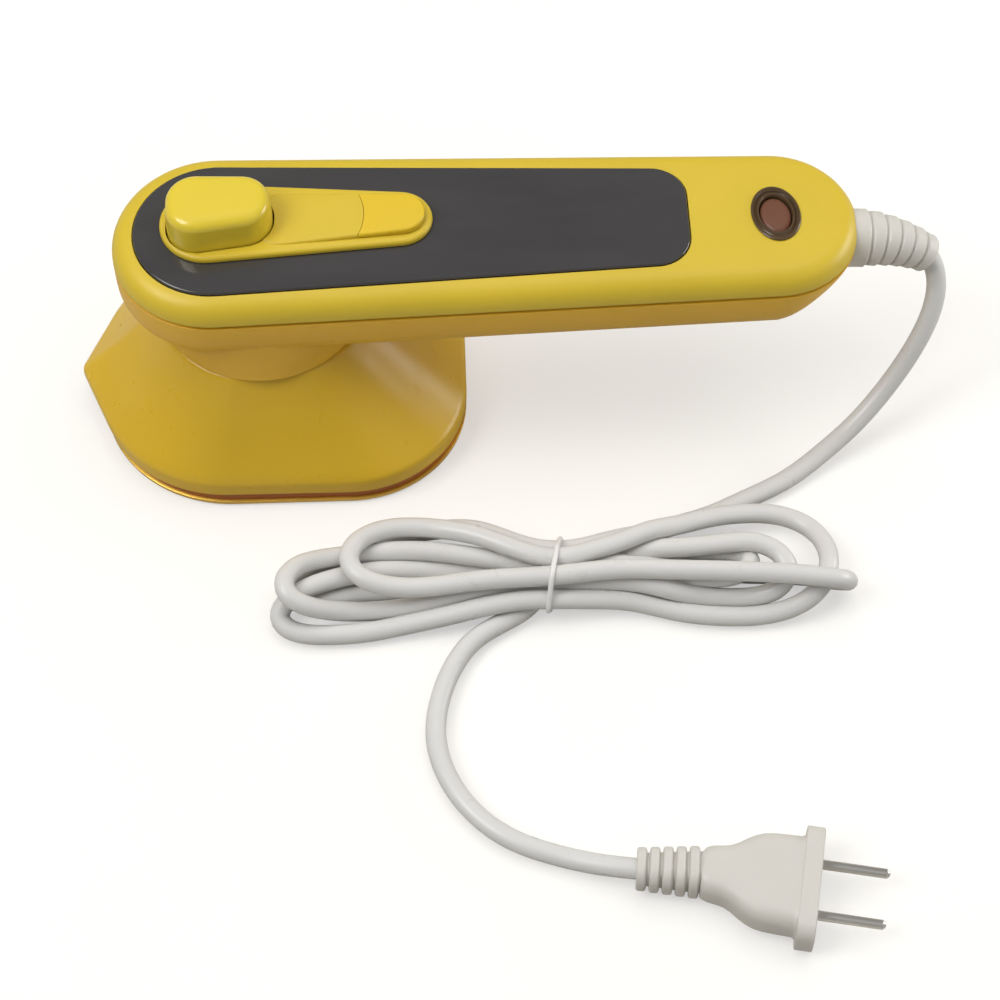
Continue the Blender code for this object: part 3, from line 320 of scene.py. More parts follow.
def combined(mesh, steps):
    """The mesh after Booleans: steps are (operation, other mesh)."""
    target = bpy.data.objects.new("target", mesh)
    bpy.context.scene.collection.objects.link(target)
    tools = []
    for operation, other in steps:
        tool = bpy.data.objects.new("tool", other)
        bpy.context.scene.collection.objects.link(tool)
        tools.append(tool)
        boolean = target.modifiers.new("Boolean", "BOOLEAN")
        boolean.operation = operation
        boolean.solver = "EXACT"
        boolean.object = tool
    bpy.context.view_layer.update()
    evaluated = target.evaluated_get(bpy.context.evaluated_depsgraph_get())
    result = bpy.data.meshes.new_from_object(evaluated)
    for used in tools + [target]:
        bpy.data.objects.remove(used)
    return result


def rounded(width, height, steps=8):
    """(inset, rise) up a quarter ellipse from an upright side to a flat top."""
    turns = [math.pi / 2 * k / steps for k in range(steps + 1)]
    return [(width * (1 - math.cos(a)), height * math.sin(a)) for a in turns]


def along(start, end):
    """The frame whose +Z runs from start to end, with its origin at start and +X level."""
    z = (end - start).normalized()
    x = Vector((0.0, 0.0, 1.0)).cross(z).normalized()
    turn = Matrix((x, z.cross(x), z)).transposed().to_4x4()
    return Matrix.Translation(start) @ turn


# ---------------------------------------------------------------- cord
CORD_D = 0.0054
WAIST_X = 0.0770
# From the strain relief down to the floor and to the tie.
LEAD = [(0.1800, -0.0004, 0.0512), (0.1815, -0.0005, 0.0497), (0.1826, -0.0012, 0.0480),
    (0.1835, -0.0026, 0.0450), (0.1838, -0.0052, 0.0407), (0.1825, -0.0090, 0.0355),
    (0.1785, -0.0140, 0.0275), (0.1722, -0.0194, 0.0180), (0.1632, -0.0262, 0.0090),
    (0.1532, -0.0330, 0.0042), (0.1430, -0.0405, 0.0028), (0.1295, -0.0473, 0.0028),
    (0.1217, -0.0512, 0.0028), (0.1084, -0.0558, 0.0032), (0.0951, -0.0616, 0.0050)]
# The loops left and right of the tie, in the order that the cord runs through them.
HIDDEN_LEFT = [(0.0770, -0.0660, 0.0064), (0.0551, -0.0548, 0.0050), (0.0469, -0.0538, 0.0032),
    (0.0387, -0.0542, 0.0027), (0.0304, -0.0565, 0.0027), (0.0241, -0.0592, 0.0027),
    (0.0168, -0.0624, 0.0027), (0.0111, -0.0642, 0.0027), (0.0062, -0.0666, 0.0027),
    (0.0032, -0.0701, 0.0027), (0.0037, -0.0739, 0.0027), (0.0074, -0.0762, 0.0027),
    (0.0121, -0.0756, 0.0027), (0.0168, -0.0742, 0.0027), (0.0219, -0.0731, 0.0027),
    (0.0286, -0.0731, 0.0027), (0.0383, -0.0735, 0.0027), (0.0505, -0.0739, 0.0027)]
HIDDEN_RIGHT = [(0.0770, -0.0750, 0.0027), (0.0946, -0.0702, 0.0035), (0.1029, -0.0720, 0.0050),
    (0.1120, -0.0744, 0.0056), (0.1186, -0.0754, 0.0056), (0.1246, -0.0751, 0.0052),
    (0.1290, -0.0731, 0.0046), (0.1311, -0.0700, 0.0038), (0.1304, -0.0669, 0.0032),
    (0.1273, -0.0650, 0.0028), (0.1231, -0.0643, 0.0027), (0.1163, -0.0648, 0.0027),
    (0.1035, -0.0654, 0.0027)]
LOW_LEFT = [(0.0770, -0.0670, 0.0027), (0.0547, -0.0670, 0.0027), (0.0466, -0.0668, 0.0035),
    (0.0385, -0.0672, 0.0050), (0.0305, -0.0684, 0.0070), (0.0244, -0.0698, 0.0081),
    (0.0179, -0.0713, 0.0081), (0.0137, -0.0726, 0.0081), (0.0094, -0.0745, 0.0081),
    (0.0058, -0.0768, 0.0074), (0.0026, -0.0782, 0.0050), (0.0014, -0.0802, 0.0032),
    (0.0036, -0.0834, 0.0027), (0.0091, -0.0853, 0.0027), (0.0155, -0.0857, 0.0027),
    (0.0261, -0.0852, 0.0027), (0.0342, -0.0838, 0.0032), (0.0422, -0.0825, 0.0042),
    (0.0503, -0.0814, 0.0054), (0.0583, -0.0801, 0.0066)]
OUTER_RIGHT = [(0.0770, -0.0776, 0.0068), (0.0941, -0.0775, 0.0055), (0.1025, -0.0790, 0.0035),
    (0.1108, -0.0810, 0.0027), (0.1190, -0.0829, 0.0027), (0.1273, -0.0838, 0.0027),
    (0.1338, -0.0837, 0.0030), (0.1402, -0.0829, 0.0046), (0.1445, -0.0816, 0.0064),
    (0.1478, -0.0791, 0.0081), (0.1504, -0.0744, 0.0083), (0.1513, -0.0691, 0.0076),
    (0.1507, -0.0634, 0.0060), (0.1481, -0.0581, 0.0046), (0.1433, -0.0541, 0.0040),
    (0.1367, -0.0526, 0.0046), (0.1298, -0.0533, 0.0060), (0.1209, -0.0554, 0.0081),
    (0.1121, -0.0587, 0.0086), (0.1033, -0.0623, 0.0096)]
TOP_LEFT = [(0.0770, -0.0706, 0.0100), (0.0550, -0.0610, 0.0115), (0.0469, -0.0585, 0.0106),
    (0.0388, -0.0571, 0.0102), (0.0307, -0.0581, 0.0110), (0.0253, -0.0616, 0.0126),
    (0.0219, -0.0653, 0.0135), (0.0208, -0.0686, 0.0135), (0.0221, -0.0724, 0.0135),
    (0.0252, -0.0750, 0.0134), (0.0294, -0.0763, 0.0124), (0.0346, -0.0769, 0.0114),
    (0.0425, -0.0768, 0.0106), (0.0505, -0.0762, 0.0108)]
LONG_RIGHT = [(0.0770, -0.0750, 0.0102), (0.0940, -0.0740, 0.0118), (0.1065, -0.0744, 0.0118),
    (0.1190, -0.0751, 0.0122), (0.1314, -0.0766, 0.0134), (0.1398, -0.0779, 0.0142),
    (0.1482, -0.0794, 0.0146), (0.1525, -0.0796, 0.0136), (0.1553, -0.0783, 0.0105),
    (0.1560, -0.0760, 0.0065), (0.1536, -0.0737, 0.0034), (0.1481, -0.0722, 0.0027),
    (0.1373, -0.0706, 0.0027), (0.1244, -0.0694, 0.0027), (0.1117, -0.0685, 0.0032),
    (0.1010, -0.0682, 0.0050)]
OUTER_LEFT = [(0.0770, -0.0698, 0.0066), (0.0548, -0.0655, 0.0072), (0.0427, -0.0635, 0.0076),
    (0.0306, -0.0633, 0.0081), (0.0239, -0.0637, 0.0081), (0.0171, -0.0651, 0.0088),
    (0.0112, -0.0668, 0.0105), (0.0063, -0.0703, 0.0124), (0.0037, -0.0750, 0.0135),
    (0.0048, -0.0794, 0.0134), (0.0092, -0.0810, 0.0110), (0.0158, -0.0805, 0.0070),
    (0.0220, -0.0791, 0.0036), (0.0302, -0.0786, 0.0027), (0.0383, -0.0777, 0.0027),
    (0.0464, -0.0763, 0.0038), (0.0545, -0.0753, 0.0055)]
INNER_RIGHT = [(0.0770, -0.0738, 0.0066), (0.0943, -0.0731, 0.0070), (0.1068, -0.0749, 0.0060),
    (0.1152, -0.0764, 0.0044), (0.1215, -0.0774, 0.0036), (0.1278, -0.0781, 0.0036),
    (0.1341, -0.0785, 0.0050), (0.1379, -0.0780, 0.0072), (0.1398, -0.0754, 0.0081),
    (0.1402, -0.0715, 0.0081), (0.1386, -0.0682, 0.0081), (0.1350, -0.0663, 0.0081),
    (0.1307, -0.0655, 0.0081), (0.1244, -0.0651, 0.0081), (0.1158, -0.0657, 0.0081),
    (0.1074, -0.0662, 0.0070), (0.0991, -0.0661, 0.0050)]
# From the tie to the plug.
TAIL = [(0.0770, -0.0710, 0.0027), (0.0685, -0.0790, 0.0027), (0.0610, -0.0838, 0.0028),
    (0.0545, -0.0880, 0.0028), (0.0488, -0.0962, 0.0028), (0.0450, -0.1063, 0.0028),
    (0.0436, -0.1180, 0.0028), (0.0470, -0.1300, 0.0028), (0.0532, -0.1395, 0.0028),
    (0.0622, -0.1470, 0.0028), (0.0768, -0.1528, 0.0030), (0.0850, -0.1556, 0.0046),
    (0.0940, -0.1575, 0.0058)]
ROUTE = (LEAD + HIDDEN_LEFT + HIDDEN_RIGHT + LOW_LEFT + OUTER_RIGHT + TOP_LEFT + LONG_RIGHT + OUTER_LEFT
         + INNER_RIGHT + TAIL)


def spline_through(points, spacing):
    """Evenly spaced points on a centripetal Catmull-Rom curve through the points, as an array."""
    given = [np.array(p, float) for p in points]
    given = [2 * given[0] - given[1]] + given + [2 * given[-1] - given[-2]]
    fine = []
    for p0, p1, p2, p3 in zip(given, given[1:], given[2:], given[3:]):
        t1 = np.linalg.norm(p1 - p0) ** 0.5
        t2 = t1 + np.linalg.norm(p2 - p1) ** 0.5
        t3 = t2 + np.linalg.norm(p3 - p2) ** 0.5
        for t in np.linspace(t1, t2, 10, endpoint=False):
            a1 = p0 + (p1 - p0) * t / t1
            a2 = p1 + (p2 - p1) * (t - t1) / (t2 - t1)
            a3 = p2 + (p3 - p2) * (t - t2) / (t3 - t2)
            b1 = a1 + (a2 - a1) * t / t2
            b2 = a2 + (a3 - a2) * (t - t1) / (t3 - t1)
            fine.append(b1 + (b2 - b1) * (t - t1) / (t2 - t1))
    fine.append(given[-2])
    fine = np.array(fine)
    walked = np.r_[0, np.cumsum(np.linalg.norm(np.diff(fine, axis=0), axis=1))]
    at = np.linspace(0, walked[-1], int(round(walked[-1] / spacing)) + 1)
    return np.stack([np.interp(at, walked, fine[:, k]) for k in range(3)], 1)


def settle(route, apart, floor, rounds=60, skip=5):
    """Moves strands that lie in each other apart, mostly up and down, and keeps them off the floor."""
    base = route.copy()
    for _ in range(5):
        base[1:-1] += ((base[:-2] + base[2:]) / 2 - base[1:-1]) * 0.5
    moved = np.zeros_like(base)
    count = len(base)
    far = np.abs(np.arange(count)[:, None] - np.arange(count)[None, :]) > skip
    easy = np.array([0.45, 0.45, 1.0])
    for _ in range(rounds):
        now = base + moved
        apart_by = now[:, None, :] - now[None, :, :]
        distance = np.linalg.norm(apart_by, axis=2) + 1e-12
        i, j = np.where((distance < apart) & far)
        push = np.zeros_like(base)
        hits = np.zeros(count)
        step = apart_by[i, j] / distance[i, j][:, None] * (apart - distance[i, j])[:, None]
        np.add.at(push, i, step * 0.5 * easy)
        np.add.at(hits, i, 1)
        moved += push / np.maximum(hits, 1)[:, None] * 0.9
        moved[1:-1] += ((moved[:-2] + moved[2:]) / 2 - moved[1:-1]) * 0.5
        moved *= 0.995
        moved[:, 2] = np.maximum(moved[:, 2], floor - base[:, 2])
        moved[:3] = 0
        moved[-3:] = 0
    return base + moved


def line(name, points, radius, look, cyclic=False, resolution=5):
    """A curve of one spline along the points, with a round section."""
    curve = bpy.data.curves.new(name, "CURVE")
    curve.dimensions = "3D"
    curve.bevel_depth = radius
    curve.bevel_resolution = resolution
    curve.use_fill_caps = True
    spline = curve.splines.new("POLY")
    spline.points.add(len(points) - 1)
    for point, p in zip(spline.points, points):
        point.co = (*p, 1.0)
    spline.use_cyclic_u = cyclic
    curve.materials.append(look)
    made = bpy.data.objects.new(name, curve)
    bpy.context.scene.collection.objects.link(made)
    return made


settled = settle(spline_through(ROUTE, 0.0025), CORD_D, CORD_D / 2)
cord_line = spline_through(settled, 0.0013)
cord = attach(line("mains_cord", [Vector(p) for p in cord_line], CORD_D / 2, WHITE), "handle")
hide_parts("cord_lead", "cord_tail", "cord_hank")


def tie_loop(middle, lean, clearance):
    """Points round the strands where they cross the tie's leaning plane."""
    normal = Vector((1.0, lean, 0.0)).normalized()
    across = Vector((-lean, 1.0, 0.0)).normalized()
    crossings = []
    for a, b in zip(cord_line, cord_line[1:]):
        side_a = (Vector(a) - middle).dot(normal)
        side_b = (Vector(b) - middle).dot(normal)
        if side_a * side_b <= 0 and abs(a[1] - middle.y) < 0.02:
            share = side_a / (side_a - side_b) if side_a != side_b else 0.0
            crossings.append(Vector(a).lerp(Vector(b), share))
    rim = []
    for p in crossings:
        for k in range(24):
            turn = math.tau * k / 24
            r = CORD_D / 2 + clearance
            rim.append(((p - middle).dot(across) + r * math.cos(turn), p.z + r * math.sin(turn)))
    rim.sort()
    halves = []
    for points in (rim, rim[::-1]):
        chain = []
        for p in points:
            while len(chain) > 1:
                (x0, z0), (x1, z1) = chain[-2:]
                if (x1 - x0) * (p[1] - z0) - (z1 - z0) * (p[0] - x0) > 0:
                    break
                chain.pop()
            chain.append(p)
        halves += chain[:-1]
    return [middle + across * u + Vector((0.0, 0.0, z)) for u, z in halves]


loop = tie_loop(Vector((WAIST_X, -0.0705, 0.0)), -0.20, 0.0004)
loop = [Vector((p.x, p.y, max(p.z, 0.0007))) for p in loop]
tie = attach(line("cord_tie", loop, 0.0007, TIE, cyclic=True, resolution=3), "handle")

# ---------------------------------------------------------------- plug
PLUG_START = Vector((0.0931, -0.1574, 0.0058))
PLUG_WAIST = Vector((0.1094, -0.1592, 0.0062))
PLUG_END = Vector((0.1380, -0.1650, 0.0066))
RELIEF_LENGTH = (PLUG_WAIST - PLUG_START).length
BODY_LENGTH = (PLUG_END - PLUG_WAIST).length
FLANGE = 0.0047
PLUG_RIBS = 5
body_frame = along(PLUG_WAIST, PLUG_END)
tail_frame = along(PLUG_START, PLUG_WAIST)


def plug_section(z, half_width, half_height, corner):
    """A rounded rectangle across the plug's axis, z past its waist. Its strain relief bends a little."""
    centres = [(half_width - corner, -half_height + corner), (half_width - corner, half_height - corner),
               (-half_width + corner, half_height - corner), (-half_width + corner, -half_height + corner)]
    place = tail_frame @ Matrix.Translation((0.0, 0.0, RELIEF_LENGTH)) if z < 0 else body_frame
    return [place @ Vector((x, y, z)) for x, y in band([(a, b, corner) for a, b in centres], 0.0, 9)]


sections = []
rib_pitch = RELIEF_LENGTH / PLUG_RIBS
for k in range(PLUG_RIBS):
    wide = 0.0051 + 0.0002 * k
    z = rib_pitch * k - RELIEF_LENGTH
    for reach, inset in ((0.0, 0.0005), (0.0003, 0.0001), (0.0008, 0.0), (0.0020, 0.0), (0.0023, 0.0002),
                         (0.0025, 0.0005), (0.0026, 0.0012), (rib_pitch - 0.0001, 0.0012)):
        sections.append((z + reach, wide - inset, wide - inset, 0.0040 - inset * 0.8))
face = BODY_LENGTH - FLANGE
BODY = [(0.0, 0.0056, 0.0052), (0.0006, 0.0061, 0.0055), (0.0020, 0.0066, 0.0057), (0.0045, 0.0069, 0.0058),
        (0.0062, 0.0073, 0.0058), (0.0082, 0.0083, 0.0059), (0.0102, 0.0098, 0.0059),
        (0.0122, 0.0110, 0.0059), (0.0142, 0.0118, 0.0059), (0.0165, 0.0122, 0.0059),
        (0.0200, 0.0124, 0.0059), (face - 0.0010, 0.0125, 0.0059),
        (face - 0.0004, 0.0127, 0.0060), (face, 0.0132, 0.0061), (face + 0.0001, 0.0152, 0.0061),
        (face + 0.0003, 0.0155, 0.0063), (BODY_LENGTH - 0.0003, 0.0155, 0.0063),
        (BODY_LENGTH, 0.0152, 0.0060)]
sections += [(z, wide, high, 0.0040) for z, wide, high in BODY]
plug = finished("plug_moulding", skin([plug_section(*s) for s in sections]), CREAM, "handle",
                ["plug_body"])

# ---------------------------------------------------------------- strain relief
RELIEF_Z = 0.0580
RELIEF_BEND = [Vector((0.1515, 0.0, RELIEF_Z)), Vector((0.1604, 0.0, RELIEF_Z)),
               Vector((0.1712, 0.0, 0.0574)), Vector((0.1804, -0.0004, 0.0506))]
RELIEF_LONG = 0.0315
COLLAR_R = 0.0078
TIP_R = 0.0053
RELIEF_RIBS = 6


def relief_ring(distance, r):
    """A ring round the relief's axis: straight to the handle's end face, then drooping to the tip."""
    start, face, aim, tip = RELIEF_BEND
    straight = (face - start).length
    if distance <= straight:
        centre = start + Vector((distance, 0.0, 0.0))
        ahead = Vector((1.0, 0.0, 0.0))
    else:
        t = (distance - straight) / (RELIEF_LONG - straight)
        centre = face * (1 - t) ** 2 + aim * 2 * t * (1 - t) + tip * t * t
        ahead = (aim - face) * (1 - t) + (tip - aim) * t
    place = along(centre, centre + ahead)
    return [place @ Vector((x, y, 0.0)) for x, y in circle(r, 40)]


collar = (RELIEF_BEND[1] - RELIEF_BEND[0]).length
FLANGE_R = 0.0069
WAIST_R = 0.0056
WAIST_START = 0.0022
WAIST_END = 0.0052
stations = [(0.0, FLANGE_R), (WAIST_START, FLANGE_R), (WAIST_START, WAIST_R), (WAIST_END, WAIST_R),
            (WAIST_END, COLLAR_R)]
ribs_start = collar - 0.0012
pitch = (RELIEF_LONG - ribs_start) / RELIEF_RIBS
for k in range(RELIEF_RIBS):
    low = ribs_start + pitch * k
    wide = COLLAR_R + (TIP_R - COLLAR_R) * k / (RELIEF_RIBS - 1)
    stations += [(low + pitch * 0.04, wide - (0.0003 if k else 0.0)), (low + pitch * 0.14, wide),
                 (low + pitch * 0.74, wide), (low + pitch * 0.84, wide - 0.0003)]
    if k < RELIEF_RIBS - 1:
        stations += [(low + pitch * 0.86, wide - 0.0010), (low + pitch * 0.99, wide - 0.0011)]
stations += [(RELIEF_LONG - 0.0004, TIP_R - 0.0008), (RELIEF_LONG, TIP_R - 0.0016)]
finished("relief_moulding", skin([relief_ring(*s) for s in stations]), CREAM, "handle",
         ["cord_relief"])

# ---------------------------------------------------------------- handle shells
HANDLE = [(-0.0108, 0.0, 0.0272), (0.1370, 0.0006, 0.0229)]
CAVITY = [(-0.0108, 0.0, 0.0272), (0.1333, 0.0006, 0.0229)]
END_TAPER = 0.0045
PANEL = [(-0.0103, -0.0003, 0.0215), (0.1049, -0.0067, 0.0095), (0.1049, 0.0072, 0.0095)]
GAP = 0.0003
SEAM = 0.0612
HANDLE_TOP = 0.0688
HANDLE_BOTTOM = 0.0470
LAMP_X = 0.1375
LAMP_LONG = 1.41
LAMP_TURN = math.radians(5)
SCREWS = [(0.0460, 0.0195), (0.0460, -0.0195), (0.1220, 0.0135), (0.1220, -0.0135)]
TOP_ROUND = 0.0057
TOP_ROUND_HEIGHT = 0.0064
UNDER_ROUND = 0.0076


def lamp_oval(z):
    """The frame of the oval lamp at height z."""
    stretch = Matrix.Diagonal((1.0, LAMP_LONG, 1.0, 1.0))
    return Matrix.Translation((LAMP_X, 0.0, z)) @ Matrix.Rotation(LAMP_TURN, 4, "Z") @ stretch


def relief_bores():
    """The stepped hole in the handle's end: (radius, from, to) for the relief's flange, waist and collar."""
    place = Matrix.Translation((0.0, 0.0, RELIEF_Z)) @ Matrix.Rotation(math.pi / 2, 4, "Y")
    bores = ((0.0071, 0.1495, 0.1545), (0.0059, 0.1515, 0.1604), (0.0080, 0.1564, 0.1624))
    return [("DIFFERENCE", skin([level(circle(r, 62), z) for z in (near, far)], place=place))
            for r, near, far in bores]


def tapered(circles, inset, z):
    """The band's outline at height z, with its far end's corners drawn in towards the underside."""
    depth = (SEAM - z) / (SEAM - HANDLE_BOTTOM)
    end, middle = circles[1][:2]
    ring = []
    for x, y in band(circles, inset):
        turn = math.atan2(y - middle, x - end)
        pull = END_TAPER * depth * abs(math.sin(2 * turn)) ** 1.5 if x > end and depth > 0 else 0.0
        ring.append((x - pull * math.cos(turn), y - pull * math.sin(turn), z))
    return ring


low = SEAM + 0.0002
rings = [level(band(HANDLE, 0.0007), low), level(band(HANDLE, 0.0004), low + 0.0003),
         level(band(HANDLE, 0.0001), low + 0.0007), level(band(HANDLE), low + 0.0009)]
rings += [level(band(HANDLE, inset), HANDLE_TOP - TOP_ROUND_HEIGHT + rise)
          for inset, rise in rounded(TOP_ROUND, TOP_ROUND_HEIGHT, 10)]
upper = combined(skin(rings), [
    ("DIFFERENCE", skin([level(band(CAVITY, 0.0020), SEAM - 0.001), level(band(CAVITY, 0.0020), 0.0617),
                         level(band(CAVITY, 0.0060), 0.0652)])),
    ("DIFFERENCE", skin([level(band(PANEL, -GAP), 0.0666), level(band(PANEL, -GAP), 0.0720)])),
    ("DIFFERENCE", skin([level(band(PANEL, 0.0030), 0.0600), level(band(PANEL, 0.0030), 0.0720)])),
    ("DIFFERENCE", skin([level(circle(0.0060, 48), z) for z in (0.0620, 0.0720)], place=lamp_oval(0.0)))]
    + relief_bores())
finished("upper_shell", upper, YELLOW, "handle", ["handle_upper_shell"], 0.0003, 3)

NECK_BOTTOM = 0.0394
NECK_HOLE_R = 0.0123
NECK_TOP = 0.0545


def neck_ring(z, inset, count=96):
    """The neck's oval at height z: round where it turns on the head, long where it meets the handle."""
    share = max(0.0, min(1.0, (z - NECK_BOTTOM) / (NECK_TOP - NECK_BOTTOM))) ** 0.8
    a = 0.0280 + (0.0376 - 0.0280) * share - inset
    b = 0.0280 + (0.0262 - 0.0280) * share - inset
    return [(a * math.cos(math.tau * k / count), b * math.sin(math.tau * k / count), z) for k in range(count)]


high = SEAM - 0.0002
rings = [level(band(HANDLE, 0.00022), high), level(band(HANDLE, 0.00005), high - 0.00008),
         level(band(HANDLE), high - 0.0003)]
rings += [tapered(HANDLE, inset, HANDLE_BOTTOM + UNDER_ROUND - rise)
          for inset, rise in rounded(UNDER_ROUND, UNDER_ROUND, 10)]
neck_heights = [NECK_BOTTOM + (NECK_TOP - NECK_BOTTOM) * k / 12 for k in range(13)]
inner_sides = ((0.0020, 0.0546), (0.0036, 0.0508), (0.0076, 0.0490))
inner = skin([level(band(CAVITY, 0.0020), SEAM + 0.002)]
             + [tapered(CAVITY, inset, z) for inset, z in inner_sides])
steps = [("UNION", skin([neck_ring(z, 0.0) for z in neck_heights])), ("DIFFERENCE", inner),
         ("DIFFERENCE", skin([neck_ring(z, 0.0020) for z in [NECK_BOTTOM + 0.002, 0.0440, 0.0500, 0.0560]])),
         ("DIFFERENCE", skin([level(circle(NECK_HOLE_R), z) for z in (0.0380, 0.0430)]))] + relief_bores()
for x, y in SCREWS:
    steps.append(("DIFFERENCE", skin([level(circle(0.0029, 32, x, y), z) for z in (0.0440, 0.0492)])))
lower = combined(skin(rings), steps)
# The lower shell wears the shaded copy of the yellow (painted shade).
finished("lower_shell", lower, LOWER_YELLOW_PAINTED_SHADE, "handle", ["handle_lower_shell"], 0.0002, 2)

# ---------------------------------------------------------------- window panel, bezel, filler cap
BEZEL_Y = 0.0008
BEZEL = [(-0.0118, 0.0010, 0.0129), (0.0382, BEZEL_Y, 0.0088)]
TONGUE = [(0.0075, BEZEL_Y, 0.0087), (0.0388, BEZEL_Y, 0.0063)]
BUTTON = [(-0.0143, -0.0012, 0.0082), (-0.0027, 0.0002, 0.0079), (-0.0027, 0.0014, 0.0079),
          (-0.0143, 0.0016, 0.0082)]
PANEL_TOP = 0.0695
BEZEL_TOP = 0.0714
ARC = (0.0130, 0.0160)
FILLER_X = 0.0372

panel = skin([level(band(PANEL), 0.0669), level(band(PANEL), PANEL_TOP - 0.0007)]
             + [level(band(PANEL, inset), PANEL_TOP - 0.0006 + rise)
                for inset, rise in rounded(0.0006, 0.0006, 4)])
button_hole = [level(band(BUTTON, -0.0004), 0.0660), level(band(BUTTON, -0.0004), 0.0760)]
mouth = [level(circle(0.0049, 40, FILLER_X, BEZEL_Y), z) for z in (0.0660, 0.0760)]
panel = combined(panel, [("DIFFERENCE", skin(button_hole)), ("DIFFERENCE", skin(mouth))])
finished("panel_sheet", panel, SMOKE, "handle", ["window_panel"])


def tongue_top(x, drop):
    """The height of the sloping tongue at x, less drop."""
    return 0.0715 + (0.0736 - 0.0715) * x / 0.0450 - drop


def tongue_rings(base_z):
    """The tongue's outline from its base up its rounded edge."""
    rings = [[(x, y, min(base_z, tongue_top(x, 0.0009))) for x, y in band(TONGUE)]]
    for inset, rise in rounded(0.0008, 0.0008, 5):
        rings.append([(x, y, tongue_top(x, 0.0008 - rise)) for x, y in band(TONGUE, inset)])
    return rings


bezel = skin([level(band(BEZEL), PANEL_TOP + GAP)]
             + [level(band(BEZEL, inset), BEZEL_TOP - 0.0012 + rise)
                for inset, rise in rounded(0.0011, 0.0012, 6)])
ramp = combined(skin(tongue_rings(BEZEL_TOP - 0.0008)),
                [("INTERSECT", skin([level(circle(ARC[1], 160, ARC[0], BEZEL_Y), 0.0690),
                                     level(circle(ARC[1], 160, ARC[0], BEZEL_Y), 0.0800)]))])
bezel = combined(bezel, [("UNION", ramp), ("DIFFERENCE", skin(button_hole)), ("DIFFERENCE", skin(mouth))])
finished("bezel_moulding", bezel, YELLOW, "handle", ["control_bezel"], 0.00018, 2)

cap_under = skin([level([(-0.01, -0.02), (0.06, -0.02), (0.06, 0.02), (-0.01, 0.02)], z)
                  for z in (0.0600, BEZEL_TOP + GAP)])
cap = combined(skin(tongue_rings(BEZEL_TOP + GAP)), [
    ("DIFFERENCE", skin([level(circle(ARC[1] + 0.00012, 160, ARC[0], BEZEL_Y), 0.0690),
                         level(circle(ARC[1] + 0.00012, 160, ARC[0], BEZEL_Y), 0.0800)])),
    ("DIFFERENCE", cap_under),
    ("UNION", skin([level(circle(r, 40, FILLER_X, BEZEL_Y), z)
                    for r, z in ((0.0030, 0.0688), (0.0037, 0.0689), (0.0043, 0.0710), (0.0043, 0.0721))]))])
finished("cap_moulding", cap, ORANGE, "cap", ["filler_cap"], 0.00015, 2)

# ---------------------------------------------------------------- button
BUTTON_TOP = 0.0813
side = [(0.0, 0.0665), (0.0, 0.0712), (0.0001, 0.0740), (0.0003, 0.0768)]
crown = [(0.0003 + inset, BUTTON_TOP - 0.0030 + rise) for inset, rise in rounded(0.0031, 0.0029, 10)]
top = [(0.0045, BUTTON_TOP - 0.00002), (0.0060, BUTTON_TOP), (0.0070, BUTTON_TOP)]
hollow = ((0.0030, 0.0795), (0.0018, 0.0773), (0.0016, 0.0665))
rings = [level(band(BUTTON, inset), z) for inset, z in hollow]
rings += [level(band(BUTTON, inset), z) for inset, z in side + crown + top]
finished("button_moulding", skin(rings), BUTTON_YELLOW, "button", ["spray_button"])

# ---------------------------------------------------------------- lamp
def turned(profile, place, count=96, closed=False):
    """A turned mesh from (radius, height) points."""
    rings = [level(circle(r, count), z) for r, z in profile]
    return skin(rings, closed, place)


finished("lamp_bezel",
         turned([(0.0043, -0.0004), (0.0044, 0.0003), (0.0046, 0.0006), (0.0049, 0.0005), (0.0051, 0.0001),
                 (0.0055, -0.0002), (0.0058, 0.0001), (0.0060, 0.0005), (0.0063, 0.0006), (0.0065, 0.0004),
                 (0.0065, 0.0002), (0.0056, 0.0002), (0.0056, -0.0042), (0.0043, -0.0042)],
                lamp_oval(HANDLE_TOP), closed=True), RING, "handle", ["lamp_ring"])
finished("lamp_window",
         turned([(0.0004, 0.0002), (0.0022, 0.0002), (0.0032, 0.0001), (0.0037, -0.0001), (0.0040, -0.0005),
                 (0.0040, -0.0036)], lamp_oval(HANDLE_TOP)), LENS, "handle", ["lamp_lens"])

# ---------------------------------------------------------------- head
HEAD_CORNERS = [(-0.0108, -0.0036, 0.0378), (0.0221, -0.0089, 0.0328), (0.0221, 0.0089, 0.0328),
                (-0.0108, 0.0036, 0.0378)]
NOSE_CORNER = -0.0537
NOSE_HALF_ANGLE = math.radians(61.5)
SOLE_CORNERS = [(-0.0100, -0.0043, 0.0375), (0.0221, -0.0091, 0.0328), (0.0221, 0.0091, 0.0328),
                (-0.0100, 0.0043, 0.0375)]
SOLE_NOSE_CORNER = -0.0500
SOLE_HALF_ANGLE = math.radians(72.0)
NOSE_LIFT = 0.0028
SKIRT_TOP = NECK_BOTTOM - GAP
RIM_TOP = 0.0098
SKIRT_BOTTOM = 0.0045


def nosed(corner, half_angle, corners, inset):
    """An outline with a nose, moved in by inset. The nose's circle slides back once it would vanish."""
    nose_r = max(0.0038 - inset, 0.0008)
    nose_x = corner + (inset + nose_r) / math.sin(half_angle)
    return band([(nose_x, 0.0, nose_r)] + [(x, y, r - inset) for x, y, r in corners], 0.0, 3)


def head_outline(inset):
    """The skirt's outline moved in by inset."""
    return nosed(NOSE_CORNER, NOSE_HALF_ANGLE, HEAD_CORNERS, inset)


def sole_outline(inset):
    """The soleplate's outline moved in by inset. Its nose is blunter than the skirt's."""
    return nosed(SOLE_NOSE_CORNER, SOLE_HALF_ANGLE, SOLE_CORNERS, inset)


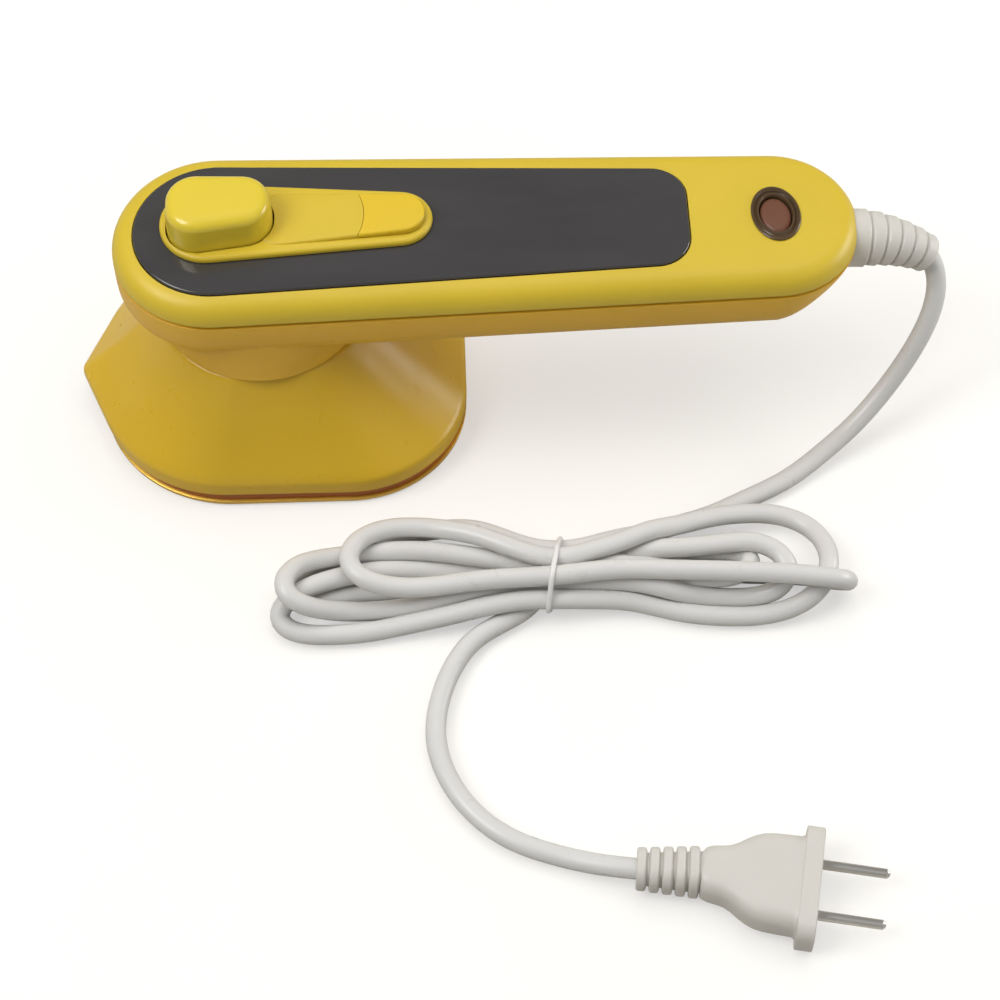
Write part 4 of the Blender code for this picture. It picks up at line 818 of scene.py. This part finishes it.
def lifted(outline, z, lift=NOSE_LIFT):
    """The outline at height z, rising by lift towards the nose."""
    ring = []
    for x, y in outline:
        share = max(0.0, min(1.0, (-0.034 - x) / 0.014))
        ring.append((x, y, z + lift * share * share * (3 - 2 * share)))
    return ring


def skirt_ring(share, inset, z):
    """The skirt between its round top at share 0 and the sole's outline at share 1."""
    ring = []
    for x, y in head_outline(inset):
        r = math.hypot(x, y)
        top_r = 0.0280 - inset
        blend = 0.75 * share + 0.25 * share * share
        k = (top_r + (r - top_r) * blend) / r
        ring.append((x * k, y * k, z))
    return ring


drop = SKIRT_TOP - RIM_TOP
outer = [skirt_ring(0.0, 0.0008, SKIRT_TOP), skirt_ring(0.0, 0.0002, SKIRT_TOP - 0.0002)]
outer += [skirt_ring(s, 0.0, SKIRT_TOP - drop * s) for s in np.linspace(0.02, 0.96, 24)]
outer += [level(head_outline(0.0005), RIM_TOP + 0.0004), level(head_outline(0.0001), RIM_TOP - 0.0003),
          level(head_outline(0.0), RIM_TOP - 0.0012), lifted(head_outline(0.0), SKIRT_BOTTOM + 0.0004),
          lifted(head_outline(0.0004), SKIRT_BOTTOM)]
SKIRT_WALL = 0.0022
inner = [skirt_ring(s, SKIRT_WALL, SKIRT_TOP - SKIRT_WALL - (drop - SKIRT_WALL) * s)
         for s in (0.0, 0.16, 0.32, 0.5, 0.68, 0.85)]
inner += [level(head_outline(SKIRT_WALL), z) for z in (RIM_TOP - 0.0015, 0.0)]
skirt = combined(skin(outer), [
    ("DIFFERENCE", skin(inner)),
    ("DIFFERENCE", skin([level(circle(NECK_HOLE_R), z) for z in (0.0340, 0.0400)]))])
# The skirt wears the head's copy of the yellow, with painted highlight and painted shade hue.
finished("skirt_shell", skirt, HEAD_YELLOW_PAINTED_LIGHT, "head", ["head_skirt"])

ring_mesh = skin([level(sole_outline(0.0008), 0.0021), level(sole_outline(0.0008), 0.0042),
                  level(sole_outline(0.0085), 0.0042), level(sole_outline(0.0085), 0.0021)], closed=True)
finished("insulating_band", ring_mesh, BROWN, "head", ["insulating_ring"])

sole_side = ((0.0012, 0.0), (0.0006, 0.0001), (0.0002, 0.0005), (0.0001, 0.0009), (0.0001, 0.0017),
             (0.0003, 0.0018), (0.0090, 0.0018), (0.0094, 0.0088))
sole = skin([level(sole_outline(inset), z) for inset, z in sole_side])
STEAM_HOLE_R = 0.0012
STEAM_HOLES = [(-0.0175, 0.0), (0.0255, 0.0)] + [(x, y) for x in (-0.0100, 0.0160) for y in (-0.0055, 0.0055)]
drills = [skin([level(circle(STEAM_HOLE_R, 24, x, y), z) for z in (-0.001, 0.0050)]) for x, y in STEAM_HOLES]
sole = combined(sole, [("DIFFERENCE", drill) for drill in drills])
finished("sole_casting", sole, GOLD, "head", ["soleplate"], 0.0001, 2)

# ---------------------------------------------------------------- floor and light
floor_mesh = skin([level([(-3, -3), (3, -3), (3, 3), (-3, 3)], z) for z in (-0.0040, -0.0004)])
floor = bpy.data.objects.new("floor", floor_mesh)
bpy.context.scene.collection.objects.link(floor)
paper, paper_tree, paper_shader = graph("pale_floor")
paper_tree.links.new(tinted(paper_tree, noise(paper_tree, 9.0), (0.50, 0.48, 0.44), 0.01),
                     paper_shader.inputs["Base Color"])
paper_shader.inputs["Roughness"].default_value = 0.9
paper_shader.inputs["Specular IOR Level"].default_value = 0.1
paper_shader.inputs["Emission Color"].default_value = (1.0, 1.0, 1.0, 1.0)
seen = paper_tree.nodes.new("ShaderNodeLightPath")
glow = paper_tree.nodes.new("ShaderNodeMath")
glow.operation = "MULTIPLY"
glow.inputs[1].default_value = 0.50
paper_tree.links.new(seen.outputs["Is Camera Ray"], glow.inputs[0])
paper_tree.links.new(glow.outputs["Value"], paper_shader.inputs["Emission Strength"])
floor_mesh.materials.append(paper)


def softbox(name, at, aim, size, power):
    """A rectangular light at one point, facing another."""
    lamp = bpy.data.lights.new(name, "AREA")
    lamp.shape = "RECTANGLE"
    lamp.size, lamp.size_y = size
    lamp.energy = power
    made = bpy.data.objects.new(name, lamp)
    made.location = at
    made.rotation_mode = "QUATERNION"
    made.rotation_quaternion = (Vector(aim) - Vector(at)).to_track_quat("-Z", "Y")
    bpy.context.scene.collection.objects.link(made)
    return made


softbox("key", (-0.9, -0.3, 1.3), (0.05, -0.03, 0.04), (0.8, 0.8), 12.5)
softbox("top", (0.2, 0.4, 1.7), (0.05, -0.03, 0.04), (2.0, 1.6), 20.5).visible_glossy = False
softbox("fill", (1.1, -0.9, 0.9), (0.05, -0.03, 0.04), (1.0, 1.0), 1.0)
softbox("low", (0.62, 0.06, 0.13), (0.04, -0.01, 0.025), (0.30, 0.16), 1.0)

world = bpy.data.worlds.new("studio")
world.use_nodes = True
world.node_tree.nodes["Background"].inputs["Color"].default_value = (1.0, 1.0, 1.0, 1.0)
world.node_tree.nodes["Background"].inputs["Strength"].default_value = 0.24
bpy.context.scene.world = world
bpy.context.scene.view_settings.view_transform = "Standard"
